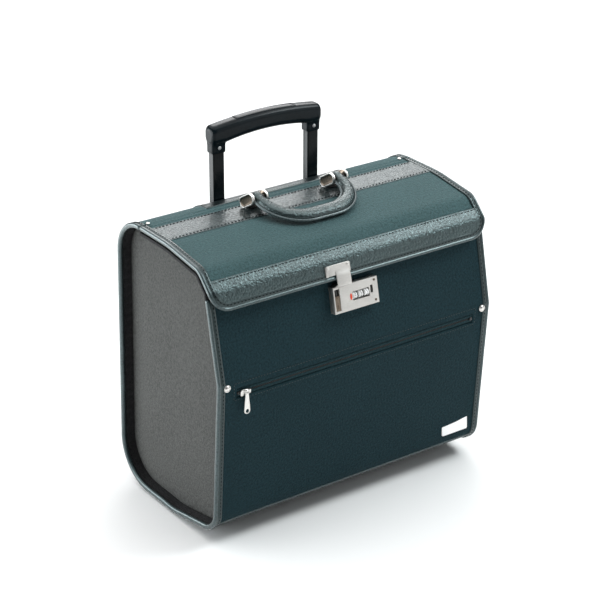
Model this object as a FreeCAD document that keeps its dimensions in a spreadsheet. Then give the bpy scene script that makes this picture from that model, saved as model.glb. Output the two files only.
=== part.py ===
"""Pilot rolling flight case: boarded fabric shell, hinged lid, carry handle, trolley and wheels.

Frame: X across the case (to the right seen from the front), Y towards the back, Z up.
The origin is on the floor, under the middle of the case. Lengths are in millimetres.
"""
import FreeCAD, Part
import math
import os

Vector = FreeCAD.Vector
Rotation = FreeCAD.Rotation
Placement = FreeCAD.Placement
X_AXIS = Vector(1, 0, 0)
Y_AXIS = Vector(0, 1, 0)
Z_AXIS = Vector(0, 0, 1)

os.makedirs("parts", exist_ok=True)
doc = FreeCAD.newDocument("flight_case")
sheet = doc.addObject("Spreadsheet::Sheet", "Sizes")

# ---------------------------------------------------------------- driving dimensions
SIZES = {
    # outline of the case seen from the side
    "half_width": 225.0,
    "front_bottom_y": -112.0,
    "front_bottom_z": 25.0,
    "floor_break_y": -8.0,
    "floor_gap": 6.0,
    "back_bottom_y": 128.0,
    "back_top_y": 115.7,
    "top_z": 405.0,
    "fold_y": -127.0,
    "fold_z": 248.0,
    "slant": 0.2159,
    "front_top_z": 361.0,
    "lid_bend_y": -8.0,
    "lid_crease_y": -84.0,
    "lid_crease_z": 395.0,
    "lid_nose_y": -110.0,
    "lid_nose_z": 369.0,
    "lid_edge_y": -115.6,
    "lid_edge_z": 349.0,
    "hinge_y": 58.0,
    # boards, bindings and panels
    "board": 4.0,
    "skin": 1.5,
    "lid_board": 5.0,
    "leather": 1.2,
    "rim_edge": 6.0,
    "rim_leg": 5.0,
    "recess": 18.0,
    "side_board": 4.0,
    "lid_gap": 6.2,
    "rail": 4.0,
    # inside: lining board behind the compartment, and the file divider
    "lining_y": 80.0,
    "lining_thick": 3.0,
    "lining_z": 74.0,
    "lining_height": 312.0,
    "divider_y": -22.0,
    "divider_thick": 4.0,
    "divider_z": 13.0,
    "divider_height": 305.0,
    "tape_thick": 0.8,
    # trim on the outside
    "plate_x": 158.0,
    "plate_z": 51.0,
    "plate_width": 46.0,
    "plate_height": 20.0,
    "rivet_x": 211.5,
    "rivet_z": 243.0,
    "rivet_radius": 5.0,
    "rivet_height": 2.4,
    "hinge_rivet_x": 209.0,
    "hinge_rivet_y": 62.0,
    "hinge_rivet_radius": 3.0,
    # zip and front pocket
    "zip_z": 231.0,
    "zip_tape": 5.5,
    "zip_chain_width": 3.0,
    "zip_half_length": 196.0,
    "slider_x": -184.0,
    "slider_length": 16.0,
    "puller_length": 30.0,
    "puller_width": 9.0,
    # wheels and feet
    "wheel_radius": 25.0,
    "wheel_width": 20.0,
    "wheel_x": 180.0,
    "wheel_y": 107.9,
    "axle_radius": 3.0,
    "hub_radius": 16.0,
    "housing_half": 21.0,
    "housing_depth": 72.0,
    "wheel_side_gap": 2.5,
    "wheel_rim_gap": 3.0,
    "foot_radius": 8.0,
    "foot_x": 186.0,
    "foot_y": -58.0,
    # trolley
    "tube_x": 78.0,
    "tube_y": 97.0,
    "tube_width": 18.0,
    "tube_depth": 12.5,
    "tube_wall": 1.25,
    "tube_gap": 0.3,
    "tube_corner": 2.0,
    "outer_bottom": 74.0,
    "outer_top": 370.0,
    "middle_bottom": 78.0,
    "middle_length": 290.0,
    "upper_bottom": 155.0,
    "upper_length": 328.0,
    "grip_half": 90.0,
    "grip_leg_z": 467.0,
    "grip_bar_z": 484.0,
    "grip_top_z": 512.0,
    "grip_depth": 24.0,
    "grip_arch": 7.0,
    "button_length": 98.0,
    "button_width": 13.0,
    "button_bottom_z": 502.5,
    "rod_radius": 2.0,
    "rod_bottom_z": 176.0,
    "linkage_z": 492.0,
    "patch_half": 118.0,
    "patch_thick": 1.6,
    "patch_low_z": 346.0,
    "patch_rivet_x": 107.0,
    "patch_rivet_radius": 3.6,
    # carry handle
    "front_band_y": -96.7,
    "band_front_y": -2.0,
    "band_back_y": 45.0,
    "cheek_out": 79.0,
    "cheek": 3.5,
    "cheek_radius": 8.5,
    "link_gap": 19.5,
    "link_pin": 2.0,
    "handle_pin": 2.5,
    "handle_out": 74.5,
    "handle_leg": 17.5,
    "handle_reach": 73.0,
    "handle_waist": 26.0,
    "handle_thick": 15.0,
    # lock and hasp
    "lock_left": -40.0,
    "lock_width": 72.0,
    "lock_height": 36.0,
    "lock_depth": 11.0,
    "lock_z": 316.0,
    "dial_radius": 5.2,
    "dial_width": 7.0,
    "dial_pitch": 9.5,
    "dial_first_x": -5.5,
    "dial_pin": 1.5,
    "neck_left": -34.0,
    "neck_width": 23.0,
    "neck_height": 1.8,
    "hasp_left": -48.0,
    "hasp_width": 39.0,
    "hasp_height": 14.0,
    "sheet_metal": 1.6,
    "tongue_drop": 16.0,
    "tongue_thick": 2.0,
}
for row, (alias, value) in enumerate(SIZES.items(), start=1):
    sheet.set(f"A{row}", alias)
    sheet.set(f"B{row}", str(value))
    sheet.setAlias(f"B{row}", alias)
doc.recompute()


def size(alias):
    """A driving dimension, read from the sheet."""
    return float(getattr(sheet, alias))


nodes = {}


def keep(obj, name):
    """Mark an object as a sub-part of the case."""
    obj.Label = name
    nodes[name] = obj
    return obj


# ---------------------------------------------------------------- outlines
# A path is a list of (u, v, radius) corners; its ends have radius 0.

def flat(u, v):
    """A point of a sketch."""
    return Vector(u, v, 0)


def unit(a, b):
    """The direction from a to b, with length 1."""
    length = math.hypot(b[0] - a[0], b[1] - a[1])
    return ((b[0] - a[0]) / length, (b[1] - a[1]) / length)


def shifted(path, distance, closed=False):
    """The path moved sideways, to the left of its direction, by distance."""
    count = len(path)
    edges = []
    for i in range(count if closed else count - 1):
        a, b = path[i], path[(i + 1) % count]
        d = unit(a, b)
        n = (-d[1] * distance, d[0] * distance)
        edges.append(((a[0] + n[0], a[1] + n[1]), (b[0] + n[0], b[1] + n[1]), d))
    out = []
    for i, corner in enumerate(path):
        if not closed and i == 0:
            out.append((*edges[0][0], 0))
            continue
        if not closed and i == count - 1:
            out.append((*edges[-1][1], 0))
            continue
        before, after = edges[i - 1], edges[i]
        cross = before[2][0] * after[2][1] - before[2][1] * after[2][0]
        gap = (after[0][0] - before[0][0], after[0][1] - before[0][1])
        along = (gap[0] * after[2][1] - gap[1] * after[2][0]) / cross
        point = (before[0][0] + before[2][0] * along, before[0][1] + before[2][1] * along)
        radius = corner[2] - distance * math.copysign(1, cross) if corner[2] else 0
        out.append((*point, max(radius, 0)))
    return out


def pieces_of(path, closed=False):
    """Straight runs and tangent arcs of a path, as FreeCAD curves in the sketch plane."""
    count = len(path)
    stops = []
    for i, (u, v, radius) in enumerate(path):
        if radius <= 0 or (not closed and i in (0, count - 1)):
            stops.append(((u, v), None, (u, v)))
            continue
        into = unit(path[i - 1], path[i])
        away = unit(path[i], path[(i + 1) % count])
        turn = math.acos(max(-1, min(1, into[0] * away[0] + into[1] * away[1])))
        reach = radius * math.tan(turn / 2)
        start = (u - into[0] * reach, v - into[1] * reach)
        end = (u + away[0] * reach, v + away[1] * reach)
        bisector = (away[0] - into[0], away[1] - into[1])
        scale = math.hypot(*bisector)
        depth = radius / math.cos(turn / 2) - radius
        middle = (u + bisector[0] / scale * depth, v + bisector[1] / scale * depth)
        stops.append((start, middle, end))
    curves = []
    for i, (start, middle, end) in enumerate(stops):
        if middle:
            curves.append(Part.Arc(flat(*start), flat(*middle), flat(*end)))
        if closed or i < count - 1:
            following = stops[(i + 1) % count][0]
            if math.hypot(following[0] - end[0], following[1] - end[1]) > 1e-6:
                curves.append(Part.LineSegment(flat(*end), flat(*following)))
    return curves


def band(path, near, far):
    """A closed outline between two offsets of an open path."""
    first = pieces_of(shifted(path, near))
    second = pieces_of(shifted(path, far))
    start = Part.LineSegment(second[0].StartPoint, first[0].StartPoint)
    end = Part.LineSegment(first[-1].EndPoint, second[-1].EndPoint)
    return [*first, end, *second, start]


def rectangle(u, v, width, height, radius=0):
    """A closed rectangle from its low corner, with rounded corners if radius is given."""
    corners = [(u, v), (u + width, v), (u + width, v + height), (u, v + height)]
    return pieces_of([(*corner, radius) for corner in corners], closed=True)


# ---------------------------------------------------------------- ways to make a sub-part

def pad(name, outlines, length, plane="YZ_Plane", at=(0, 0, 0), base=None, turn=None):
    """A PartDesign body: one pad per (outline, length alias or expression, offset)."""
    body = doc.addObject("PartDesign::Body", name + "_body")
    support = next(f for f in body.Origin.OriginFeatures if f.Role == plane)
    if not isinstance(length, (list, tuple)):
        outlines, length = [outlines], [(length, 0)]
    for index, (curves, (amount, lift)) in enumerate(zip(outlines, length)):
        sketch = body.newObject("Sketcher::SketchObject", f"{name}_outline{index}")
        sketch.AttachmentSupport = (support, [""])
        sketch.MapMode = "FlatFace"
        sketch.AttachmentOffset = Placement(Vector(0, 0, lift), Rotation())
        sketch.addGeometry(curves, False)
        feature = body.newObject("PartDesign::Pad", f"{name}_pad{index}")
        feature.Profile = sketch
        if isinstance(amount, str):
            feature.setExpression("Length", amount)
        else:
            feature.Length = amount
    place = Placement(Vector(*at), turn or Rotation())
    body.Placement = base.multiply(place) if base else place
    return body


def box(name, corner, lengths, base=None):
    """A Part box; lengths are numbers or expressions over the sheet."""
    obj = doc.addObject("Part::Box", name + "_box")
    for side, amount in zip(("Length", "Width", "Height"), lengths):
        if isinstance(amount, str):
            obj.setExpression(side, amount)
        else:
            setattr(obj, side, amount)
    place = Placement(Vector(*corner), Rotation())
    obj.Placement = base.multiply(place) if base else place
    return obj


def rod(name, start, radius, length, axis=X_AXIS, base=None):
    """A Part cylinder from start along axis."""
    obj = doc.addObject("Part::Cylinder", name + "_rod")
    for side, amount in (("Radius", radius), ("Height", length)):
        if isinstance(amount, str):
            obj.setExpression(side, amount)
        else:
            setattr(obj, side, amount)
    place = Placement(Vector(*start), Rotation(Z_AXIS, axis))
    obj.Placement = base.multiply(place) if base else place
    return obj


def joined(name, parts):
    obj = doc.addObject("Part::MultiFuse", name + "_fuse")
    obj.Shapes = parts
    return obj


def group(name, parts):
    """Identical separate solids in one sub-part."""
    obj = doc.addObject("Part::Compound", name + "_group")
    obj.Links = parts
    return obj


def minus(name, base, tools):
    tool = tools[0] if len(tools) == 1 else joined(name + "_tools", tools)
    obj = doc.addObject("Part::Cut", name + "_cut")
    obj.Base = base
    obj.Tool = tool
    return obj


def mirrored(name, source):
    """The same piece on the other side of the middle plane."""
    obj = doc.addObject("Part::Mirroring", name + "_mirror")
    obj.Source = source
    obj.Base = Vector(0, 0, 0)
    obj.Normal = X_AXIS
    return obj


def pair(name, source):
    return group(name, [source, mirrored(name, source)])


def both_sides(name, source):
    """A right-hand sub-part and its mirror image."""
    keep(source, name + "_right")
    keep(mirrored(name, source), name + "_left")


# ---------------------------------------------------------------- shared outline and frames
HALF = size("half_width")
BOARD = size("board")
LEATHER = size("leather")
PANEL_HALF = HALF - size("rim_edge")
FULL_PANEL = "2 * (Sizes.half_width - Sizes.rim_edge)"
FRONT_SLOPE = (size("fold_y") - size("front_bottom_y")) / (size("fold_z") - size("front_bottom_z"))
BACK_SLOPE = (size("back_top_y") - size("back_bottom_y")) / (size("top_z") - size("floor_gap"))
FOLD_RADIUS = 10.0


def front_at(z):
    """A point of the lower front wall, outside."""
    return (size("fold_y") + (z - size("fold_z")) * FRONT_SLOPE, z)


def upper_at(z):
    """A point of the slanted upper front wall, outside."""
    return (size("fold_y") + (z - size("fold_z")) * size("slant"), z)


def back_at(z):
    """A point of the back wall, outside."""
    return (size("back_bottom_y") + (z - size("floor_gap")) * BACK_SLOPE, z)


def end(point):
    return (point[0], point[1], 0)


FRONT_BOTTOM = (size("front_bottom_y"), size("front_bottom_z"), 34.0)
FLOOR_BREAK = (size("floor_break_y"), size("floor_gap"), 120.0)
BACK_BOTTOM = (size("back_bottom_y"), size("floor_gap"), 60.0)
BACK_TOP = (size("back_top_y"), size("top_z"), 54.0)
FOLD = (size("fold_y"), size("fold_z"), FOLD_RADIUS)
SEAM_FRONT_Z = 57.0
SEAM_FOLD_Z = 259.0
SEAM_BACK_LOW_Z = 78.0
SEAM_BACK_HIGH_Z = 330.0
LID_SLIT = 0.5

# the wrap runs from the lid's hinge round the back, the bottom and the front; left is inside
hinge_end = (size("hinge_y") + LID_SLIT, size("top_z"), 0)
top_back_path = [hinge_end, BACK_TOP, end(back_at(SEAM_BACK_HIGH_Z))][::-1]
back_path = [end(back_at(SEAM_BACK_LOW_Z)), end(back_at(SEAM_BACK_HIGH_Z))]
bottom_path = [
    end(front_at(SEAM_FRONT_Z)), FRONT_BOTTOM, FLOOR_BREAK, BACK_BOTTOM, end(back_at(SEAM_BACK_LOW_Z)),
]
front_path = [end(upper_at(SEAM_FOLD_Z)), FOLD, end(front_at(SEAM_FRONT_Z))]
upper_path = [end(upper_at(size("front_top_z"))), end(upper_at(SEAM_FOLD_Z))]
wrap_path = [
    end(upper_at(size("front_top_z"))), FOLD, FRONT_BOTTOM, FLOOR_BREAK, BACK_BOTTOM, BACK_TOP, hinge_end,
]
lid_path = [
    (size("hinge_y") - LID_SLIT, size("top_z"), 0),
    (size("lid_bend_y"), size("top_z"), 200.0),
    (size("lid_crease_y"), size("lid_crease_z"), 14.0),
    (size("lid_nose_y"), size("lid_nose_z"), 16.0),
    (size("lid_edge_y"), size("lid_edge_z"), 0),
]


def frame_on(point, rise):
    """Placement on a wall: its local -Y points out of the wall and its Z runs up it."""
    lean = math.degrees(math.atan(rise))
    return Placement(Vector(0, point[0], point[1]), Rotation(X_AXIS, -lean))


def front_frame(z):
    return frame_on(front_at(z), FRONT_SLOPE)


def upper_frame(z):
    return frame_on(upper_at(z), size("slant"))


def flap_frame(z):
    rise = (size("lid_nose_y") - size("lid_edge_y")) / (size("lid_nose_z") - size("lid_edge_z"))
    return frame_on((size("lid_edge_y") + (z - size("lid_edge_z")) * rise, z), rise)


# ---------------------------------------------------------------- the shell
def envelope():
    """The filled outline of the closed wrap, used only as a cutting tool."""
    loop = [
        (*upper_at(400.0), 0), FOLD, FRONT_BOTTOM, FLOOR_BREAK, BACK_BOTTOM, BACK_TOP,
    ]
    return pad("envelope", pieces_of(loop, closed=True), FULL_PANEL, at=(-PANEL_HALF, 0, 0))


# low corner and lengths of the cuts for a wheel housing and for a trolley collar
WELL_FRONT_Y = 70.0
WELL_LOW_Z = -4.0
WELL_BOX = (
    (size("wheel_x") - size("housing_half"), WELL_FRONT_Y, WELL_LOW_Z),
    (2 * size("housing_half"), size("housing_depth"), size("housing_depth")),
)
COLLAR_HALF_X = 16.5
COLLAR_HALF_Y = 13.5
COLLAR_LOW_Z = 350.0
COLLAR_BOX = (
    (size("tube_x") - COLLAR_HALF_X, size("tube_y") - COLLAR_HALF_Y, COLLAR_LOW_Z),
    (2 * COLLAR_HALF_X, 2 * COLLAR_HALF_Y, 60),
)


def boards():
    """The stiff boards of the wrap, each from one seam to the next."""
    keep(pad("back", band(back_path, 0, BOARD), FULL_PANEL, at=(-PANEL_HALF, 0, 0)), "rear_panel")
    bottom = pad("bottom", band(bottom_path, 0, BOARD), FULL_PANEL, at=(-PANEL_HALF, 0, 0))
    well = box("well_cut", *WELL_BOX)
    keep(minus("bottom", bottom, [well, mirrored("well_cut", well)]), "bottom_panel")
    top = pad("top_back", band(top_back_path, 0, BOARD), FULL_PANEL, at=(-PANEL_HALF, 0, 0))
    hole = box("collar_cut", *COLLAR_BOX)
    keep(minus("top_back", top, [hole, mirrored("collar_cut", hole)]), "top_rear_panel")
    skin = size("skin") + 0.1
    keep(pad("front", band(front_path, skin, BOARD), FULL_PANEL, at=(-PANEL_HALF, 0, 0)), "front_panel")
    keep(pad("upper", band(upper_path, 0, BOARD), FULL_PANEL, at=(-PANEL_HALF, 0, 0)), "upper_front_panel")


def pocket():
    """The outer skins of the front pocket, above and below its zip."""
    opening = size("zip_tape") + size("zip_chain_width") / 2
    low = [end(front_at(size("zip_z") - opening)), end(front_at(SEAM_FRONT_Z))]
    high = [end(upper_at(SEAM_FOLD_Z)), FOLD, end(front_at(size("zip_z") + opening))]
    for name, path in (("pocket_panel", low), ("pocket_top_panel", high)):
        keep(pad(name, band(path, 0, size("skin")), FULL_PANEL, at=(-PANEL_HALF, 0, 0)), name)


def mouth_path():
    """The rim of the mouth: parallel to the lid, then down to the top of the upper front wall."""
    under = shifted(lid_path[:4], size("lid_gap"))
    start, bend, crease, nose = under
    steep = (nose[1] - crease[1]) / (nose[0] - crease[0])
    rise = 1 / size("slant")
    wall = upper_at(size("front_top_z"))
    y = (wall[1] - crease[1] + steep * crease[0] - rise * wall[0]) / (steep - rise)
    corner = (y, crease[1] + steep * (y - crease[0]), 6.0)
    return [start, bend, crease, corner, end(wall)]


def side_panels():
    """The recessed side panels, cut to the inside of the wrap and to the mouth rails."""
    inner = shifted(wrap_path, BOARD + 0.1)
    rail = shifted(mouth_path(), size("rail") + 0.1)
    rail = [(inner[-1][0], rail[0][1], 0)] + rail[:-1]
    loop = inner + rail
    panel = pad(
        "side", pieces_of(loop, closed=True), "Sizes.side_board",
        at=(HALF - size("recess") - size("side_board"), 0, 0),
    )
    both_sides("side_panel", panel)


def bindings():
    """Leather bindings round the side edges of the wrap: an edge and an outer leg."""
    leg, edge = size("rim_leg"), size("rim_edge")
    outlines = [band(wrap_path, -LEATHER, 0), band(wrap_path, -LEATHER, BOARD)]
    lengths = [("Sizes.rim_leg", 0), ("Sizes.rim_edge", leg)]
    rim = pad("rim", outlines, lengths, at=(HALF - edge - leg, 0, 0))
    both_sides("rim_binding", rim)


def mouth_rails():
    """Stiff rails under the lid, along both sides of the mouth."""
    rail = pad(
        "rail", band(mouth_path(), 0, size("rail")), "Sizes.recess + Sizes.side_board",
        at=(HALF - size("recess") - size("side_board"), 0, 0),
    )
    keep(pair("rails", rail), "mouth_rails")


def inside():
    """Lining board, file divider, and the tape under the lid's fold."""
    inner_half = HALF - size("recess") - size("side_board") - 1
    corner = (-inner_half, size("lining_y"), size("lining_z"))
    lining = box("lining", corner, (2 * inner_half, "Sizes.lining_thick", "Sizes.lining_height"))
    keep(lining, "rear_lining")
    corner = (-inner_half, size("divider_y"), size("divider_z"))
    divider = box("divider", corner, (2 * inner_half, "Sizes.divider_thick", "Sizes.divider_height"))
    keep(divider, "file_divider")
    near = BOARD + 0.1
    tape = doc.addObject("Part::Common", "hinge_tape")
    strip = band(top_back_path, near, near + size("tape_thick"))
    tape.Base = pad("hinge_tape", strip, 2 * inner_half, at=(-inner_half, 0, 0))
    tape.Tool = box("hinge_tape_end", (-HALF, 0, 360), (2 * HALF, size("lining_y"), 60))
    keep(tape, "lid_hinge_tape")


def name_plate():
    """A blank metal plate low on the front wall."""
    thick = 1.2
    sides = ("Sizes.plate_width", thick, "Sizes.plate_height")
    plate = box("name_plate", (size("plate_x"), -thick, 0), sides, base=front_frame(size("plate_z")))
    keep(plate, "name_plate")


def rim_rivets():
    """Domed rivets: on the fold of the front binding, and at the lid's hinge end."""
    rivets = []
    wall = front_frame(size("rivet_z"))
    top_z = size("top_z")
    for side in (-1, 1):
        start = (side * size("rivet_x"), -LEATHER, 0)
        rivets.append(rod("front_rivet", start, "Sizes.rivet_radius", size("rivet_height"), -Y_AXIS, wall))
        start = (side * size("hinge_rivet_x"), size("hinge_rivet_y"), top_z)
        rivets.append(rod("top_rivet", start, "Sizes.hinge_rivet_radius", size("rivet_height"), Z_AXIS))
    keep(group("rim_rivets", rivets), "rim_rivets")


def feet(hull):
    """Two feet under the front of the bottom, trimmed to its slope."""
    foot = rod("foot", (size("foot_x"), size("foot_y"), 0), "Sizes.foot_radius", 24, Z_AXIS)
    keep(pair("front_feet", minus("foot", foot, [hull])), "front_feet")


# ---------------------------------------------------------------- zip
def zip_fastener():
    """Tapes, chain and end stops of the pocket zip, and its slider with a hanging puller."""
    wall = front_frame(size("zip_z"))
    half = size("zip_half_length")
    chain = size("zip_chain_width")
    tape = size("zip_tape")
    sides = ("2 * Sizes.zip_half_length", 1, "Sizes.zip_tape")
    low = box("tape_low", (-half, 0, -chain / 2 - tape), sides, wall)
    high = box("tape_high", (-half, 0, chain / 2), sides, wall)
    keep(group("tapes", [low, high]), "zip_tapes")
    run = box("chain", (-half + 6, -0.8, -chain / 2), (2 * half - 12, 1.8, "Sizes.zip_chain_width"), wall)
    keep(run, "zip_chain")
    stops = [box("stop", (x, -0.8, -chain / 2), (4, 1.8, chain), wall) for x in (-half + 1, half - 5)]
    keep(group("stops", stops), "zip_end_stops")
    at = size("slider_x")
    length = size("slider_length")
    shell = box("slider", (at - length / 2, -4.2, -4.5), ("Sizes.slider_length", 3, 9), wall)
    ears = [box("ear", (at + x, -7.0, 1.4), (1, 2.9, 3), wall) for x in (-2.6, 1.6)]
    pin = rod("slider_pin", (at - 2.6, -5.8, 2.9), 0.7, 5.2, X_AXIS, wall)
    keep(joined("slider", [shell, *ears, pin]), "zip_slider")
    width = size("puller_width")
    drop = size("puller_length")
    hang = Placement(wall.multVec(Vector(at, -5.8, 2.9)), Rotation())
    eye = rod("puller_eye", (-1.3, 0, 0), 1.4, 2.6, X_AXIS, hang)
    neck = box("puller_neck", (-1.3, -0.7, -6), (2.6, 1.4, 5), hang)
    blade = pad(
        "puller_blade", rectangle(-width / 2, -drop - 3, width, drop - 2, 4.0), 1.4,
        plane="XZ_Plane", at=(0, 0.7, 0), base=hang,
    )
    hole = rod("puller_hole", (0, -5, -drop + 1.5), 2.3, 10, Y_AXIS, hang)
    bore = rod("puller_bore", (-3, 0, 0), 0.76, 6, X_AXIS, hang)
    keep(minus("puller", joined("puller", [eye, neck, blade]), [hole, bore]), "zip_puller")


# ---------------------------------------------------------------- wheels
def wheels(hull):
    """Wheel housings let into the back bottom corners, with axles, hubs and tyres."""
    axle_at = (size("wheel_y"), size("wheel_radius"))
    centre = size("wheel_x")
    block = doc.addObject("Part::Common", "housing_block")
    block.Base = box("housing", *WELL_BOX)
    block.Tool = hull
    half = size("wheel_width") / 2
    inside_half = half + size("wheel_side_gap")
    axle_half = size("housing_half") - 3
    well = rod(
        "well", (centre - inside_half, *axle_at), size("wheel_radius") + size("wheel_rim_gap"), 2 * inside_half
    )
    slot_low = WELL_LOW_Z - 2
    slot = box(
        "well_back", (centre - inside_half, axle_at[0], slot_low), (2 * inside_half, 60, axle_at[1] - slot_low)
    )
    bore = rod("axle_bore", (centre - axle_half, *axle_at), size("axle_radius") + 0.04, 2 * axle_half)
    keep(pair("housings", minus("housing", block, [well, slot, bore])), "wheel_housings")
    axle = rod("axle", (centre - axle_half, *axle_at), "Sizes.axle_radius", 2 * axle_half)
    keep(pair("axles", axle), "wheel_axles")
    rim = size("hub_radius")
    hub = rod("hub", (centre - half, *axle_at), "Sizes.hub_radius", "Sizes.wheel_width")
    hub_bore = rod("hub_bore", (centre - half - 1, *axle_at), size("axle_radius") + 0.06, 2 * half + 2)
    both_sides("wheel_hub", minus("hub", hub, [hub_bore]))
    tread = [
        (-half, rim + 0.02, 0), (half, rim + 0.02, 0), (half, size("wheel_radius"), 3.5),
        (-half, size("wheel_radius"), 3.5),
    ]
    face = Part.Face(Part.Wire([curve.toShape() for curve in pieces_of(tread, closed=True)]))
    ring = doc.addObject("Part::Feature", "tyre_ring")
    ring.Shape = face.revolve(Vector(0, 0, 0), X_AXIS, 360)
    ring.Placement = Placement(Vector(centre, *axle_at), Rotation())
    both_sides("wheel_tyre", ring)


# ---------------------------------------------------------------- trolley
TUBE_LIP = 2.0
BUTTON_GAP = 0.4
LINKAGE_HALF = 82.0


def tube(name, stage, bottom, length):
    """A rounded rectangular tube; stage 0 is the innermost."""
    grow = stage * (size("tube_wall") + size("tube_gap"))
    wall = size("tube_wall")
    width = size("tube_width") / 2 + grow
    depth = size("tube_depth") / 2 + grow
    corner = size("tube_corner") + grow
    outer = rectangle(-width, -depth, 2 * width, 2 * depth, corner)
    inner = rectangle(-width + wall, -depth + wall, 2 * (width - wall), 2 * (depth - wall), corner - wall)
    at = (size("tube_x"), size("tube_y"), bottom)
    return pad(name, outer + inner, length, plane="XY_Plane", at=at)


def trolley_fixed(hull):
    """Outer tubes, their base, the collars in the shell, and the patch with its rivets."""
    length = "Sizes.outer_top - Sizes.outer_bottom"
    outer = tube("outer_tube", 2, size("outer_bottom"), length)
    keep(pair("outer_tubes", outer), "trolley_outer_tubes")
    base_half, base_depth, base_thick = 96, 24, 8
    corner = (-base_half, size("tube_y") - base_depth / 2, size("outer_bottom") - base_thick)
    keep(box("trolley_base", corner, (2 * base_half, base_depth, base_thick)), "trolley_base")
    grow = 2 * (size("tube_wall") + size("tube_gap")) + 0.05
    mouth = rectangle(
        -size("tube_width") / 2 - grow, -size("tube_depth") / 2 - grow,
        size("tube_width") + 2 * grow, size("tube_depth") + 2 * grow, size("tube_corner") + grow,
    )
    lip = rectangle(
        -size("tube_width") / 2 - TUBE_LIP, -size("tube_depth") / 2 - TUBE_LIP,
        size("tube_width") + 2 * TUBE_LIP, size("tube_depth") + 2 * TUBE_LIP, size("tube_corner") + TUBE_LIP,
    )
    block = doc.addObject("Part::Common", "collar_block")
    block.Base = box("collar", *COLLAR_BOX)
    block.Tool = hull
    centre = (size("tube_x"), size("tube_y"), COLLAR_BOX[0][2] - 1)
    bore = pad("collar_bore", mouth, size("outer_top") - centre[2], "XY_Plane", at=centre)
    opening = pad("collar_opening", lip, 80, "XY_Plane", at=centre)
    keep(pair("tube_collars", minus("collar", block, [bore, opening])), "tube_collars")
    path = [end(back_at(size("patch_low_z"))), BACK_TOP, (size("hinge_y") + 3, size("top_z"), 0)]
    thick = size("patch_thick")
    patch = pad("patch", band(path, -thick, 0), "2 * Sizes.patch_half", at=(-size("patch_half"), 0, 0))
    hole = pad("patch_hole", lip, 80, "XY_Plane", at=centre)
    keep(minus("patch", patch, [hole, mirrored("patch_hole", hole)]), "trolley_patch")
    bend = BACK_TOP[2]
    bend_y = BACK_TOP[0] - bend * BACK_SLOPE - bend * math.hypot(1, BACK_SLOPE)
    tilt = Rotation(X_AXIS, -25)
    rivets = []
    for side in (-1, 1):
        base = Placement(Vector(side * size("patch_rivet_x"), bend_y, BACK_TOP[1] - bend), tilt)
        rivets.append(rod("patch_rivet", (0, 0, bend + thick), "Sizes.patch_rivet_radius", 2, Z_AXIS, base))
    keep(group("trolley_rivets", rivets), "trolley_rivets")


def trolley_tubes():
    """The two sliding stages of the trolley."""
    middle = tube("middle_tube", 1, size("middle_bottom"), "Sizes.middle_length")
    keep(pair("middle_tubes", middle), "trolley_middle_tubes")
    upper = tube("upper_tube", 0, size("upper_bottom"), "Sizes.upper_length")
    keep(pair("upper_tubes", upper), "trolley_upper_tubes")


def trolley_grip():
    """The grip with its legs and screws."""
    y = size("tube_y")
    half = size("grip_half")
    low, high = size("grip_bar_z"), size("grip_top_z")
    arch = size("grip_arch")
    bar = [
        Part.Arc(flat(-half + 10, high - arch), flat(0, high), flat(half - 10, high - arch)),
        Part.LineSegment(flat(half - 10, high - arch), flat(half, high - arch - 8)),
        Part.LineSegment(flat(half, high - arch - 8), flat(half, low - 4)),
        Part.LineSegment(flat(half, low - 4), flat(half - 22, low - 4)),
        Part.Arc(flat(half - 22, low - 4), flat(0, low + 2.5), flat(-half + 22, low - 4)),
        Part.LineSegment(flat(-half + 22, low - 4), flat(-half, low - 4)),
        Part.LineSegment(flat(-half, low - 4), flat(-half, high - arch - 8)),
        Part.LineSegment(flat(-half, high - arch - 8), flat(-half + 10, high - arch)),
    ]
    depth = size("grip_depth")
    grip_bar = pad("grip_bar", bar, "Sizes.grip_depth", plane="XZ_Plane", at=(0, y + depth / 2, 0))
    leg_x, leg_y = size("tube_width") / 2 + 2, size("tube_depth") / 2 + 2.05
    leg_low = size("grip_leg_z")
    tube_top = size("upper_bottom") + size("upper_length")
    legs, sockets, screws = [], [], []
    for side in (-1, 1):
        x = side * size("tube_x")
        leg = rectangle(x - leg_x, -leg_y, 2 * leg_x, 2 * leg_y, 3)
        legs.append(pad("grip_leg", leg, low - 3 - leg_low, "XY_Plane", at=(0, y, leg_low)))
        corner = (x - size("tube_width") / 2, y - size("tube_depth") / 2, leg_low - 1)
        sockets.append(box("socket", corner, ("Sizes.tube_width", "Sizes.tube_depth", tube_top - leg_low + 1)))
        screws.append(rod("grip_screw", (x, y - leg_y, leg_low + 8), 2.6, 1.2, -Y_AXIS))
    long, wide = size("button_length") + 2 * BUTTON_GAP, size("button_width") + 2 * BUTTON_GAP
    slot_z = size("button_bottom_z") - 3.5
    slot = box("button_slot", (-long / 2, y - wide / 2, slot_z), (long, wide, 20))
    channel = box("linkage_channel", (-LINKAGE_HALF - 4, y - 4, low - 2), (2 * LINKAGE_HALF + 8, 8, 18))
    keep(minus("grip", joined("grip", [grip_bar, *legs]), [*sockets, slot, channel]), "trolley_grip")
    keep(group("grip_screws", screws), "grip_screws")


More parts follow.
